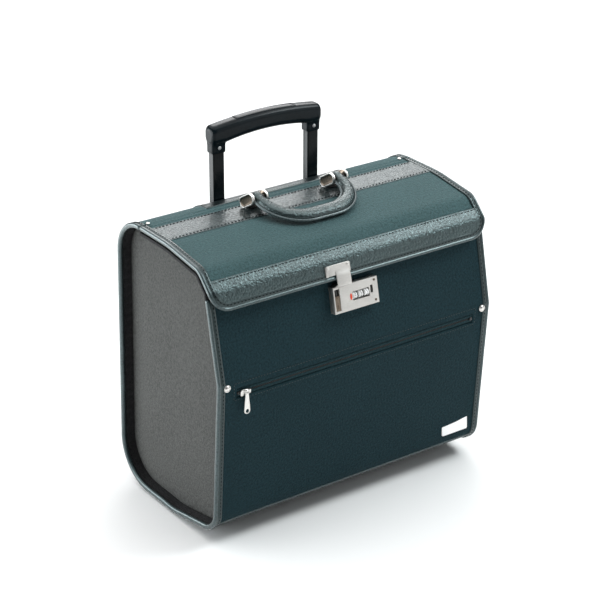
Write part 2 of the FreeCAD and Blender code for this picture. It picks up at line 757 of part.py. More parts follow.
def release_button():
    """The button in the top of the grip, with the rods that it pushes down the tubes."""
    y = size("tube_y")
    end_x = size("button_length") / 2
    top, bottom = size("grip_top_z") - 1.6, size("button_bottom_z")
    outline = [
        Part.Arc(flat(-end_x, top), flat(0, top + 2.4), flat(end_x, top)),
        Part.LineSegment(flat(end_x, top), flat(end_x, bottom)),
        Part.LineSegment(flat(end_x, bottom), flat(-end_x, bottom)),
        Part.LineSegment(flat(-end_x, bottom), flat(-end_x, top)),
    ]
    at = (0, y + size("button_width") / 2, 0)
    keep(pad("button", outline, "Sizes.button_width", plane="XZ_Plane", at=at), "grip_button")
    beam_z = size("linkage_z")
    beam_high = 6
    beam = box("linkage_beam", (-LINKAGE_HALF, y - 3, beam_z), (2 * LINKAGE_HALF, 6, beam_high))
    post_z = beam_z + beam_high
    posts = [box("linkage_post", (x - 4, y - 3, post_z), (8, 6, bottom - post_z)) for x in (-34, 34)]
    rods = []
    for side in (-1, 1):
        start = (side * size("tube_x"), y, size("rod_bottom_z"))
        length = beam_z + 0.5 - size("rod_bottom_z")
        rods.append(rod("release_rod", start, "Sizes.rod_radius", length, Z_AXIS))
    keep(joined("release_linkage", [beam, *posts, *rods]), "release_linkage")


# ---------------------------------------------------------------- lid
def lid():
    """Lid board, leather bands, bindings and the piped lower edge."""
    keep(pad("lid", band(lid_path, 0, size("lid_board")), FULL_PANEL, at=(-PANEL_HALF, 0, 0)), "lid_panel")
    leg, edge = size("rim_leg"), size("rim_edge")
    outlines = [band(lid_path, -LEATHER, 0), band(lid_path, -LEATHER, size("lid_board"))]
    rim = pad(
        "lid_rim", outlines, [("Sizes.rim_leg", 0), ("Sizes.rim_edge", leg)], at=(HALF - edge - leg, 0, 0)
    )
    keep(pair("lid_rims", rim), "lid_bindings")
    inner = HALF - edge - leg - 0.2
    # the front band starts on the facet between the crease and the nose
    share = (size("lid_crease_y") - size("front_band_y")) / (size("lid_crease_y") - size("lid_nose_y"))
    start_z = size("lid_crease_z") + share * (size("lid_nose_z") - size("lid_crease_z"))
    front = [(size("front_band_y"), start_z, 0)] + lid_path[3:]
    keep(pad("front_band", band(front, -LEATHER, 0), 2 * inner, at=(-inner, 0, 0)), "lid_front_band")
    # the centre band's front edge lies on the first part of the lid's bend
    top = size("top_z")
    bend = lid_path[1][2]
    turn = math.atan2(top - size("lid_crease_z"), size("lid_bend_y") - size("lid_crease_y"))
    bend_start = size("lid_bend_y") + bend * math.tan(turn / 2)
    angle = math.asin((bend_start - size("band_front_y")) / bend)
    corner_y = bend_start - bend * math.tan(angle / 2)
    reach = bend * math.tan(angle / 2) + 0.5
    centre = [
        (size("band_back_y"), top, 0),
        (corner_y, top, bend),
        (corner_y - reach * math.cos(angle), top - reach * math.sin(angle), 0),
    ]
    keep(pad("centre_band", band(centre, -LEATHER, 0), 2 * inner, at=(-inner, 0, 0)), "centre_band")
    radius = 2.2
    flap = flap_frame(size("lid_edge_z"))
    start = (-HALF + 3, size("lid_board") / 2, -radius)
    keep(rod("piping", start, radius, 2 * HALF - 6, X_AXIS, flap), "lid_edge_piping")


HASP_LOW_Z = 352.0


def hasp():
    """Metal hasp on the lid's front band, its tongue and its two rivets."""
    flap = flap_frame(HASP_LOW_Z)
    metal = size("sheet_metal")
    left, width = size("hasp_left"), size("hasp_width")
    front = -LEATHER - metal
    plate = box("hasp", (left, front, 0), ("Sizes.hasp_width", "Sizes.sheet_metal", "Sizes.hasp_height"), flap)
    overlap = 6.5
    thick, drop = size("tongue_thick"), size("tongue_drop")
    corner = (size("neck_left"), front - thick, -drop)
    tongue = box("tongue", corner, ("Sizes.neck_width", "Sizes.tongue_thick", drop + overlap), flap)
    keep(joined("hasp", [plate, tongue]), "hasp_plate")
    edge, height = 3.5, size("hasp_height") - 3.5
    rivets = [
        rod("hasp_rivet", (x, front, height), 2, 1.2, -Y_AXIS, flap) for x in (left + edge, left + width - edge)
    ]
    keep(group("hasp_rivets", rivets), "hasp_rivets")


LINK_PIVOT = (33.0, 415.2)
LINK_LEAN = 31.0
HANDLE_SLOPE = 14.0


def link_points():
    """The lower pivot of the handle links and the upper pivot, as (y, z)."""
    lower = LINK_PIVOT
    lean = math.radians(LINK_LEAN)
    gap = size("link_gap")
    return lower, (lower[0] - gap * math.cos(lean), lower[1] + gap * math.sin(lean))


def handle_mounts():
    """Lugs on the centre band, and the pinned cheek links that hold the handle's ends."""
    lower, upper = link_points()
    out, thick = size("cheek_out"), size("cheek")
    radius = size("cheek_radius")
    middle = out - size("handle_leg") / 2 - thick - 0.7
    top = size("top_z") + LEATHER
    lug = joined("lug", [
        box("lug_base", (middle - 5, lower[0] - 9, top), (10, 18, 3)),
        box("lug_post", (middle - 5, lower[0] - 5, top), (10, 10, lower[1] - top)),
        rod("lug_eye", (middle - 5, *lower), 5, 10),
    ])
    bore = rod("lug_bore", (middle - 6, *lower), size("link_pin") + 0.06, 12)
    keep(pair("lugs", minus("lug", lug, [bore])), "handle_lugs")
    along = unit(lower, upper)
    tail = (lower[0] - along[0] * radius, lower[1] - along[1] * radius)
    tip = (upper[0] + along[0] * radius, upper[1] + along[1] * radius)
    side = (-along[1] * radius, along[0] * radius)
    corners = [
        (tail[0] + side[0], tail[1] + side[1]), (tail[0] - side[0], tail[1] - side[1]),
        (tip[0] - side[0], tip[1] - side[1]), (tip[0] + side[0], tip[1] + side[1]),
    ]
    oval = pieces_of([(*corner, radius - 0.01) for corner in corners], closed=True)
    gap = size("handle_leg") + 1.4
    cheeks = []
    for start in (out - thick, out - 2 * thick - gap):
        cheeks.append(pad("cheek", oval, "Sizes.cheek", at=(start, 0, 0)))
    keep(group("cheeks", [*cheeks, *[mirrored("cheek", cheek) for cheek in cheeks]]), "handle_cheeks")
    inner = out - thick - gap
    pins = [
        rod("link_pin", (inner, *lower), "Sizes.link_pin", gap),
        rod("handle_pin", (inner, *upper), "Sizes.handle_pin", gap),
    ]
    keep(group("pins", [*pins, *[mirrored("pin", pin) for pin in pins]]), "handle_pins")


def carry_handle():
    """The padded leather handle: a flat arch lying forward from its two pins."""
    _, upper = link_points()
    out, leg = size("handle_out"), size("handle_leg")
    reach, waist = size("handle_reach"), size("handle_waist")
    tail = 7.5
    end_radius, outer_radius, inner_radius = 3, 58, 40
    outer = [
        (-out, tail, end_radius), (-out, -reach, outer_radius),
        (out, -reach, outer_radius), (out, tail, end_radius),
    ]
    inside = out - leg
    depth = -reach + waist
    inner = [
        (inside, tail, end_radius), (inside, depth, inner_radius),
        (-inside, depth, inner_radius), (-inside, tail, end_radius),
    ]
    loop = pieces_of(outer + inner, closed=True)
    slope = Placement(Vector(0, *upper), Rotation(X_AXIS, HANDLE_SLOPE))
    thick = size("handle_thick")
    arch = pad("handle", loop, "Sizes.handle_thick", "XY_Plane", at=(0, 0, -thick / 2), base=slope)
    bores = []
    for start in (-out - 1, out - leg - 1):
        bores.append(rod("handle_bore", (start, *upper), size("handle_pin") + 0.06, leg + 2))
    keep(minus("handle", arch, bores), "handle_grip")


# ---------------------------------------------------------------- lock
DIAL_PIN_DEPTH = 4.6


SLIDE_WIDTH = 7.4
SLIDE_HEIGHT = 20.0
SLIDE_LOW = -14.5
SLIDE_GAP = 0.4
SLIDE_TRAVEL = 9.0


def lock_slide(left, depth, wall):
    """The opening slide in its recess, with two small rivets."""
    thick = 2.2
    front = -depth + 0.6
    plate = box("lock_slide", (left, front, SLIDE_LOW), (SLIDE_WIDTH, thick, SLIDE_HEIGHT), wall)
    rivets = [
        rod("slide_rivet", (left + SLIDE_WIDTH / 2, front + 0.1, z), 1.1, 0.6, -Y_AXIS, wall)
        for z in (SLIDE_LOW + 3, SLIDE_LOW + SLIDE_HEIGHT - 3)
    ]
    keep(joined("slide", [plate, *rivets]), "lock_slide")


def lock():
    """Combination lock on the upper front wall: body with window, dials, neck and screws."""
    wall = upper_frame(size("lock_z"))
    left, width = size("lock_left"), size("lock_width")
    height, depth = size("lock_height"), size("lock_depth")
    sides = ("Sizes.lock_width", "Sizes.lock_depth", "Sizes.lock_height")
    body = box("lock", (left, -depth, -height / 2), sides, wall)
    sides = ("Sizes.neck_width", "Sizes.lock_depth", "Sizes.neck_height")
    neck = box("neck", (size("neck_left"), -depth, height / 2), sides, wall)
    first, pitch, wide = size("dial_first_x"), size("dial_pitch"), size("dial_width")
    row = 2 * pitch + wide
    start = first - wide / 2
    window = box("window", (start - 0.6, -depth - 1, -6.2), (row + 1.2, depth, 12.4), wall)
    slide_left = left + 2.4
    corner = (slide_left - SLIDE_GAP, -depth - 1, SLIDE_LOW - SLIDE_GAP)
    lengths = (SLIDE_WIDTH + 2 * SLIDE_GAP, 4, SLIDE_HEIGHT + SLIDE_TRAVEL + 2 * SLIDE_GAP)
    slide_slot = box("slide_slot", corner, lengths, wall)
    right_slot = box("right_slot", (19.6, -depth - 1, -2.5), (4.2, 2.5, 10.5), wall)
    pin_y = -depth + DIAL_PIN_DEPTH
    reach = 4
    pin_at = (start - reach, pin_y, 0)
    bore = rod("lock_bore", pin_at, size("dial_pin") + 0.01, row + 2 * reach, X_AXIS, wall)
    keep(minus("lock", joined("lock", [body, neck]), [window, slide_slot, right_slot, bore]), "lock_body")
    keep(rod("dial_axle", pin_at, "Sizes.dial_pin", row + 2 * reach, X_AXIS, wall), "dial_axle")
    for index in range(3):
        x = start + index * pitch
        dial = rod(f"dial{index}", (x, pin_y, 0), "Sizes.dial_radius", "Sizes.dial_width", X_AXIS, wall)
        hole = rod(f"dial_hole{index}", (x - 1, pin_y, 0), size("dial_pin") + 0.06, wide + 2, X_AXIS, wall)
        keep(minus(f"dial{index}", dial, [hole]), f"dial_{index + 1}")
    lock_slide(slide_left, depth, wall)
    mark = box("lock_index", (start - 4.7, -depth - 0.3, -4.5), (3.2, 0.3, 9), wall)
    keep(mark, "lock_index")
    x = left + width - 5
    screws = [rod("lock_screw", (x, -depth, z), 1.8, 0.8, -Y_AXIS, wall) for z in (-13.5, 14)]
    keep(group("lock_screws", screws), "lock_screws")
    sides = ("Sizes.lock_width", 1.5, "Sizes.lock_height")
    keep(box("lock_backplate", (left, BOARD, -height / 2), sides, wall), "lock_backplate")


# ---------------------------------------------------------------- build, check and write
hull = envelope()
boards()
pocket()
side_panels()
bindings()
mouth_rails()
inside()
name_plate()
rim_rivets()
feet(hull)
zip_fastener()
wheels(hull)
trolley_fixed(hull)
trolley_tubes()
trolley_grip()
release_button()
lid()
hasp()
handle_mounts()
carry_handle()
lock()
doc.recompute()

faults = [o.Name for o in doc.Objects if "Invalid" in o.State or "Error" in o.State]
for name, obj in nodes.items():
    if obj.Shape.isNull() or not obj.Shape.isValid() or not obj.Shape.Solids:
        faults.append(name)
if faults:
    raise RuntimeError("failed objects: " + ", ".join(faults))
for name, obj in nodes.items():
    obj.Shape.exportStep(f"parts/{name}.step")
print(len(nodes), "sub-parts written")
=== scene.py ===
"""Looks of the pilot rolling flight case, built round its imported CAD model.

Lengths in the outline tables are millimetres in the part's own frame; every mesh is made in metres.
"""
import math
import bmesh
import bpy
import numpy as np
from mathutils import Matrix, Vector, noise


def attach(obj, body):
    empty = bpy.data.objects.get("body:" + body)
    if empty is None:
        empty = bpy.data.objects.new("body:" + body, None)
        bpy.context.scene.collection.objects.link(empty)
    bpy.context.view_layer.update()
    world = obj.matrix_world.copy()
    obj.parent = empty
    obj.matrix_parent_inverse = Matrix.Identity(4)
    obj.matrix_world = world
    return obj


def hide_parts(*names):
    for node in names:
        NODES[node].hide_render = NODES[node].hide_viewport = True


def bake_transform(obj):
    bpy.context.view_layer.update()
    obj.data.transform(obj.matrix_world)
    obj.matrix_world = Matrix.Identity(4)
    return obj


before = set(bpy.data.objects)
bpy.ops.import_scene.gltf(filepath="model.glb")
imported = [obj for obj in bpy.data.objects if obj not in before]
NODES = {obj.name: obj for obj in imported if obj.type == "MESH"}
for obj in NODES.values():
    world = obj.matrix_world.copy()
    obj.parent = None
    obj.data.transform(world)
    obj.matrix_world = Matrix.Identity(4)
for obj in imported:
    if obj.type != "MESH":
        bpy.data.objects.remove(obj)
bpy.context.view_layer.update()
MM = 0.001


# ---------------------------------------------------------------- node materials
class Mat:
    """A small helper round one Principled material."""

    def __init__(self, name, color, rough=0.5, metal=0.0, **sockets):
        self.m = bpy.data.materials.new(name)
        self.m.use_nodes = True
        self.tree = self.m.node_tree
        self.bsdf = self.tree.nodes["Principled BSDF"]
        self.bsdf.inputs["Base Color"].default_value = (*color, 1)
        self.bsdf.inputs["Roughness"].default_value = rough
        self.bsdf.inputs["Metallic"].default_value = metal
        for key, value in sockets.items():
            self.bsdf.inputs[key.replace("_", " ")].default_value = value

    def node(self, kind, **props):
        n = self.tree.nodes.new(kind)
        for key, value in props.items():
            setattr(n, key, value)
        return n

    def link(self, a, b):
        self.tree.links.new(a, b)

    def coords(self, uv=False, scale=(1, 1, 1), turn=(0, 0, 0)):
        c = self.node("ShaderNodeTexCoord")
        m = self.node("ShaderNodeMapping")
        m.inputs["Scale"].default_value = scale
        m.inputs["Rotation"].default_value = turn
        self.link(c.outputs["UV" if uv else "Object"], m.inputs["Vector"])
        return m.outputs["Vector"]

    def noise(self, vec, scale, detail=3, rough=0.5):
        n = self.node("ShaderNodeTexNoise")
        n.inputs["Scale"].default_value = scale
        n.inputs["Detail"].default_value = detail
        n.inputs["Roughness"].default_value = rough
        self.link(vec, n.inputs["Vector"])
        return n.outputs["Fac"]

    def voronoi(self, vec, scale, smooth):
        n = self.node("ShaderNodeTexVoronoi", feature="SMOOTH_F1")
        n.inputs["Scale"].default_value = scale
        n.inputs["Smoothness"].default_value = smooth
        self.link(vec, n.inputs["Vector"])
        return n.outputs["Distance"]

    def wave(self, vec, axis, scale):
        n = self.node("ShaderNodeTexWave", wave_type="BANDS", bands_direction=axis, wave_profile="SIN")
        n.inputs["Scale"].default_value = scale
        self.link(vec, n.inputs["Vector"])
        return n.outputs["Fac"]

    def math(self, op, a, b=0.5, clamp=False):
        n = self.node("ShaderNodeMath", operation=op, use_clamp=clamp)
        for socket, value in zip(n.inputs, (a, b)):
            if isinstance(value, (int, float)):
                socket.default_value = value
            else:
                self.link(value, socket)
        return n.outputs[0]

    def total(self, *parts):
        """Weighted sum of (value, weight) pairs."""
        scaled = [self.math("MULTIPLY", value, weight) for value, weight in parts]
        result = scaled[0]
        for part in scaled[1:]:
            result = self.math("ADD", result, part)
        return result

    def rough_from(self, fac, low, high):
        n = self.node("ShaderNodeMapRange")
        n.inputs["To Min"].default_value = low
        n.inputs["To Max"].default_value = high
        self.link(fac, n.inputs["Value"])
        self.link(n.outputs["Result"], self.bsdf.inputs["Roughness"])

    def color_from(self, fac, dark, light, low=0.0, high=1.0):
        n = self.node("ShaderNodeValToRGB")
        for element, position, value in zip(n.color_ramp.elements, (low, high), (dark, light)):
            element.position = position
            element.color = (*value, 1)
        self.link(fac, n.inputs["Fac"])
        self.link(n.outputs["Color"], self.bsdf.inputs["Base Color"])

    def bump(self, height, distance, strength=1.0, after=None):
        n = self.node("ShaderNodeBump")
        n.inputs["Distance"].default_value = distance
        n.inputs["Strength"].default_value = strength
        self.link(height, n.inputs["Height"])
        if after is not None:
            self.link(after, n.inputs["Normal"])
        self.link(n.outputs["Normal"], self.bsdf.inputs["Normal"])
        return n.outputs["Normal"]


def shade(color, k):
    return tuple(min(1.0, c * k) for c in color)


def cloth(name, color, thread=0.62, uv=True, sheen=0.0, spec=0.15):
    """Plain-weave nylon with threads this many millimetres apart, slubs and faint soiling."""
    m = Mat(name, color, 0.78, Sheen_Weight=sheen, Sheen_Roughness=0.45)
    m.bsdf.inputs["Specular IOR Level"].default_value = spec
    vec = m.coords(uv)
    period = 2 * math.pi / 20.0  # the wave texture repeats every pi / 10 of scaled length
    k = period / (thread * MM)
    axis = ("X", "Y") if uv else ("Y", "Z")
    weave = m.math("MAXIMUM", m.wave(vec, axis[0], k), m.wave(vec, axis[1], k))
    fine = m.noise(vec, 1500, 2)
    slub = m.math("MULTIPLY", m.math("SUBTRACT", m.noise(vec, 330, 2, 0.7), 0.5), 2.6)
    slub = m.math("ADD", slub, 0.5, True)
    broad = m.noise(vec, 9, 3)
    mix = m.total((weave, 0.30), (fine, 0.34), (slub, 0.35), (broad, 0.16))
    m.color_from(mix, shade(color, 0.38), shade(color, 1.75), 0.24, 0.92)
    m.rough_from(fine, 0.68, 0.88)
    lumps = m.bump(slub, 0.0007, 0.9)
    m.bump(m.total((weave, 0.6), (fine, 0.4)), 0.00016, 0.8, lumps)
    return m.m


def hide(name, color, cell, depth, rough, crease, coat=0.3, spec=0.5):
    """Grained leather: pebbles cell mm across and depth mm high, with softer creases over them."""
    m = Mat(name, color, 0.42, Coat_Weight=coat, Coat_Roughness=0.3)
    m.bsdf.inputs["Specular IOR Level"].default_value = spec
    m.bsdf.inputs["Specular Tint"].default_value = (0.68, 0.97, 0.98, 1)
    vec = m.coords()
    shift = m.node("ShaderNodeMixRGB", blend_type="ADD")
    shift.inputs["Fac"].default_value = 0.0012
    m.link(vec, shift.inputs["Color1"])
    m.link(m.noise(vec, 160, 2), shift.inputs["Color2"])
    pebble = m.voronoi(shift.outputs["Color"], 1000 / cell, 0.35)
    grit = m.voronoi(shift.outputs["Color"], 2300 / cell, 0.3)
    folds = m.noise(vec, 75, 4, 0.6)
    fine = m.noise(vec, 3000, 2)
    top = m.math("SUBTRACT", 1.0, m.math("POWER", pebble, 1.6))
    height = m.total((top, 0.62), (m.math("SUBTRACT", 1.0, grit), 0.24), (folds, crease))
    m.color_from(top, shade(color, 0.45), shade(color, 1.5), 0.2, 0.95)
    m.rough_from(m.total((fine, 0.5), (folds, 0.5)), *rough)
    m.bump(height, depth * MM)
    return m.m


def metal(name, color, rough, brush=(1, 1, 1), grit=900):
    """Metal with fine marks, drawn out along a direction where brush is uneven."""
    m = Mat(name, color, 0.28, 1.0)
    fine = m.noise(m.coords(False, brush), grit, 4, 0.7)
    blot = m.noise(m.coords(), 60, 3)
    both = m.total((fine, 0.65), (blot, 0.35))
    m.rough_from(both, *rough)
    m.color_from(both, shade(color, 0.82), shade(color, 1.08), 0.3, 0.7)
    m.bump(fine, 0.02 * MM, 0.6)
    return m.m


def plastic(name, color, rough, grit=1400, depth=0.03, spec=0.5):
    """Moulded or enamelled surface with a fine grit and broad handling wear."""
    m = Mat(name, color, 0.4)
    m.bsdf.inputs["Specular IOR Level"].default_value = spec
    vec = m.coords()
    fine = m.noise(vec, grit, 3, 0.6)
    wear = m.noise(vec, 45, 4, 0.6)
    m.rough_from(m.total((fine, 0.4), (wear, 0.6)), *rough)
    m.color_from(wear, shade(color, 0.8), shade(color, 1.25), 0.3, 0.75)
    m.bump(fine, depth * MM, 0.5)
    return m.m


def thread_material(name, color):
    """Twisted sewing thread."""
    m = Mat(name, color, 0.7)
    m.bsdf.inputs["Specular IOR Level"].default_value = 0.08
    twist = m.wave(m.coords(False, (1, 1, 1), (0.5, 0.6, 0.7)), "DIAGONAL", 700)
    m.color_from(twist, shade(color, 0.6), shade(color, 1.3))
    m.bump(twist, 0.00006, 0.8)
    return m.m


# The front, top and back cloths are one teal-black nylon at different brightnesses: the top copy is painted
# lighter as painted light from above, and the front copy darker as painted shade.
CLOTH_FRONT_SHADED = cloth("cloth_front_shaded", (0.0085, 0.025, 0.031), spec=0.12)
CLOTH_TOP_LIT = cloth("cloth_top_lit", (0.036, 0.078, 0.082), sheen=0.1, spec=0.25)
CLOTH_BACK = cloth("cloth_back", (0.030, 0.065, 0.070))
# The side cloth is the same nylon made a lighter neutral grey: painted light from the left on the side
# panels.
CLOTH_SIDE_LIT = cloth("cloth_side_lit", (0.062, 0.063, 0.0605), thread=0.7, uv=False)
WELT_CLOTH = cloth("welt_cloth", (0.0105, 0.030, 0.036), thread=0.5)
LINING = cloth("lining", (0.020, 0.020, 0.021), thread=0.4, uv=False)
GRAIN = hide("grained_leather", (0.006, 0.0115, 0.013), 3.4, 1.4, (0.24, 0.34), 0.2, 0.35, 0.85)
BAND = hide("band_leather", (0.006, 0.0125, 0.0145), 3.8, 1.7, (0.28, 0.4), 0.15, 0.4)
BINDING = hide("binding_leather", (0.006, 0.0095, 0.0105), 2.2, 0.2, (0.24, 0.36), 0.5)
# The edge roll leather is the binding leather painted about four times lighter: painted highlight on the
# rolled edges and welt cords.
EDGE_ROLL_LIT = hide("edge_roll_leather_lit", (0.024, 0.036, 0.039), 2.2, 0.12, (0.2, 0.3), 0.4, 0.6)
HANDLE = hide("handle_leather", (0.005, 0.0085, 0.0095), 3.0, 1.3, (0.22, 0.32), 0.15, 0.45, 0.8)
# The piping leather is the handle leather painted about ten times lighter: painted highlight along the
# handle's edge cords.
PIPING_LIT = hide("piping_leather_lit", (0.06, 0.078, 0.082), 2.2, 0.1, (0.2, 0.3), 0.3, 0.8)
THREAD = thread_material("thread", (0.003, 0.004, 0.005))
LIGHT_THREAD = thread_material("thread_light", (0.070, 0.088, 0.090))
NICKEL = metal("nickel", (0.74, 0.72, 0.69), (0.22, 0.36))
NICKEL_PLATE = metal("nickel_brushed", (0.6, 0.585, 0.56), (0.4, 0.54), (0.12, 1, 1), 1500)
BRIGHT = metal("plate_aluminium", (0.95, 0.95, 0.95), (0.45, 0.55), (0.12, 1, 1), 1500)
# Nickel painted dark brown: painted reflection in the dished centres of the handle's side plates and painted
# shade on the lock's slide in its recess; the lock's screw heads use it too.
NICKEL_PAINTED_DARK = metal("nickel_painted_dark", (0.17, 0.135, 0.105), (0.22, 0.34), (1, 1, 0.2), 1200)
STEEL = metal("steel", (0.55, 0.55, 0.56), (0.25, 0.4), (1, 0.1, 0.1))
DARK = plastic("black_enamel", (0.004, 0.004, 0.0045), (0.2, 0.35))
MOULDED = plastic("moulded_black", (0.009, 0.010, 0.011), (0.42, 0.58), 900, 0.08)
GLOSSY = plastic("grip_black", (0.0025, 0.0065, 0.009), (0.2, 0.3), 1600, 0.015, 0.14)
TUBE = plastic("tube_black", (0.002, 0.0045, 0.006), (0.14, 0.22), 2500, 0.008, 0.16)
TYRE = plastic("tyre_black", (0.014, 0.014, 0.015), (0.6, 0.8), 700, 0.12)
WHITE = plastic("dial_white", (0.92, 0.91, 0.89), (0.3, 0.45))
INK = plastic("dial_ink", (0.004, 0.004, 0.004), (0.4, 0.5))
RED = plastic("index_red", (0.85, 0.065, 0.012), (0.3, 0.4))


# ---------------------------------------------------------------- mesh helpers
def piece(name, verts, faces, uv, material, body, stands):
    """A mesh piece in metres riding on a CAD body."""
    mesh = bpy.data.meshes.new(name)
    mesh.from_pydata([tuple(v) for v in verts], [], [tuple(f) for f in faces])
    mesh.validate()
    mesh.polygons.foreach_set("use_smooth", [True] * len(mesh.polygons))
    layer = mesh.uv_layers.new(name="weave")
    loops = np.zeros(len(mesh.loops), int)
    mesh.loops.foreach_get("vertex_index", loops)
    layer.data.foreach_set("uv", np.array(uv, float)[loops].astype(np.float32).ravel())
    obj = bpy.data.objects.new(name, mesh)
    bpy.context.scene.collection.objects.link(obj)
    mesh.materials.append(material)
    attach(obj, body)
    if stands:
        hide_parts(*stands)
    return obj


def sharp_by_angle(obj, degrees):
    """Marks hard edges so that smooth shading stops at them."""
    bm = bmesh.new()
    bm.from_mesh(obj.data)
    limit = math.radians(degrees)
    for e in bm.edges:
        e.smooth = len(e.link_faces) == 2 and e.calc_face_angle(0) < limit
    bm.to_mesh(obj.data)
    bm.free()


def fix_normals(obj):
    """Turns every face outwards."""
    bm = bmesh.new()
    bm.from_mesh(obj.data)
    bmesh.ops.recalc_face_normals(bm, faces=bm.faces)
    bm.to_mesh(obj.data)
    bm.free()
    return obj


def subsurf(obj, levels=1):
    mod = obj.modifiers.new("subdivision", "SUBSURF")
    mod.levels = levels
    mod.render_levels = levels
    return obj


class Build:
    """Collects vertices and faces of one piece made of many parts."""

    def __init__(self):
        self.v, self.f, self.uv, self.mat = [], [], [], []

    def add(self, verts, faces, uv=None, mat=0):
        base = len(self.v)
        self.v += [tuple(v) for v in verts]
        self.f += [tuple(i + base for i in face) for face in faces]
        self.uv += list(uv) if uv is not None else [(v[0], v[1] + v[2]) for v in verts]
        self.mat += [mat] * len(faces)

    def make(self, name, materials, body, slot, stands=(), angle=None):
        if not isinstance(materials, (list, tuple)):
            materials = [materials]
        obj = piece(name, self.v, self.f, self.uv, materials[0], body, stands)
        for m in materials[1:]:
            obj.data.materials.append(m)
        if len(materials) > 1:
            obj.data.polygons.foreach_set("material_index", self.mat)
        fix_normals(obj)
        if angle is not None:
            sharp_by_angle(obj, angle)
        return obj


BOX_FACES = [(0, 1, 3, 2), (4, 6, 7, 5), (0, 4, 5, 1), (2, 3, 7, 6), (0, 2, 6, 4), (1, 5, 7, 3)]


def turns(count):
    """Angles of count points evenly round a full turn."""
    return np.linspace(0, 2 * math.pi, count, endpoint=False)


def grid_faces(rows, cols, close_cols=False, close_rows=False):
    """Quads over a grid of vertices numbered row by row."""
    faces = []
    for i in range(rows if close_rows else rows - 1):
        for j in range(cols if close_cols else cols - 1):
            a, b = i * cols + j, i * cols + (j + 1) % cols
            c, d = ((i + 1) % rows) * cols + (j + 1) % cols, ((i + 1) % rows) * cols + j
            faces.append((a, b, c, d))
    return faces


def tube_grid(rings, cap=True, closed=False):
    """Faces over a list of equal closed rings."""
    n = len(rings[0])
    verts = [p for ring in rings for p in ring]
    faces = grid_faces(len(rings), n, True, closed)
    if cap and not closed:
        faces.append(tuple(range(n))[::-1])
        last = (len(rings) - 1) * n
        faces.append(tuple(last + i for i in range(n)))
    return verts, faces


def lathe(profile, at, axis, segments=24, cap=True):
    """(radius, height) profile in mm turned about axis through at (mm)."""
    axis = Vector(axis).normalized()
    side = axis.orthogonal().normalized()
    other = axis.cross(side)
    rings = []
    for r, h in profile:
        ring = []
        for k in range(segments):
            t = 2 * math.pi * k / segments
            p = Vector(at) + axis * h + (side * math.cos(t) + other * math.sin(t)) * max(r, 0.01)
            ring.append(p * MM)
        rings.append(ring)
    return tube_grid(rings, cap)


def rounded_box(size_mm, radius, segments=3):
    """Verts and faces of a rounded box centred at the origin, in mm."""
    bm = bmesh.new()
    bmesh.ops.create_cube(bm, size=1)
    for v in bm.verts:
        v.co = Vector(c * s for c, s in zip(v.co, size_mm))
    bmesh.ops.bevel(bm, geom=bm.edges[:], offset=radius, segments=segments, profile=0.5, affect="EDGES")
    verts = [v.co.copy() for v in bm.verts]
    faces = [[v.index for v in f.verts] for f in bm.faces]
    bm.free()
    return verts, faces


def plate_solid(outline, thick, bevel=0.4, steps=2):
    """A flat plate from a closed outline (mm, in x-z), from y=-thick to 0, with rounded front edges."""
    n = len(outline)

    def inset(d):
        out = []
        for i in range(n):
            a, b, c = Vector(outline[i - 1]), Vector(outline[i]), Vector(outline[(i + 1) % n])
            d1, d2 = (b - a), (c - b)
            n1 = Vector((-d1.y, d1.x)).normalized() if d1.length > 1e-9 else Vector((0, 0))
            n2 = Vector((-d2.y, d2.x)).normalized() if d2.length > 1e-9 else n1
            m = (n1 + n2)
            m = m.normalized() / max(0.5, m.normalized().dot(n1)) if m.length > 1e-6 else n1
            out.append((b.x + m.x * d, b.y + m.y * d))
        return out

    rings = [[(x, 0.0, z) for x, z in outline], [(x, -(thick - bevel), z) for x, z in outline]]
    for s in range(1, steps + 1):
        t = math.pi / 2 * s / steps
        ring = inset(bevel * (1 - math.cos(t)))
        rings.append([(x, -(thick - bevel) - bevel * math.sin(t), z) for x, z in ring])
    return tube_grid(rings)


def at_frame(verts, origin, lean):
    """Local mm points (x, y into the wall, z up it) on a wall leaning back by lean radians, to metres."""
    m = Matrix.Translation(Vector(origin)) @ Matrix.Rotation(-lean, 4, "X")
    return [(m @ Vector(v)) * MM for v in verts]


# ---------------------------------------------------------------- outlines shared with the shell
def unit(a, b):
    d = math.hypot(b[0] - a[0], b[1] - a[1])
    return ((b[0] - a[0]) / d, (b[1] - a[1]) / d)


def shifted(path, distance):
    """An open path of (y, z, radius) corners moved to the left of its direction."""
    edges = []
    for a, b in zip(path, path[1:]):
        d = unit(a, b)
        n = (-d[1] * distance, d[0] * distance)
        edges.append(((a[0] + n[0], a[1] + n[1]), (b[0] + n[0], b[1] + n[1]), d))
    out = [(*edges[0][0], 0)]
    for i in range(1, len(path) - 1):
        before, after = edges[i - 1], edges[i]
        cross = before[2][0] * after[2][1] - before[2][1] * after[2][0]
        gap = (after[0][0] - before[0][0], after[0][1] - before[0][1])
        along = (gap[0] * after[2][1] - gap[1] * after[2][0]) / cross
        point = (before[0][0] + before[2][0] * along, before[0][1] + before[2][1] * along)
        radius = path[i][2] - distance * math.copysign(1, cross) if path[i][2] else 0
        out.append((*point, max(radius, 0)))
    out.append((*edges[-1][1], 0))
    return out


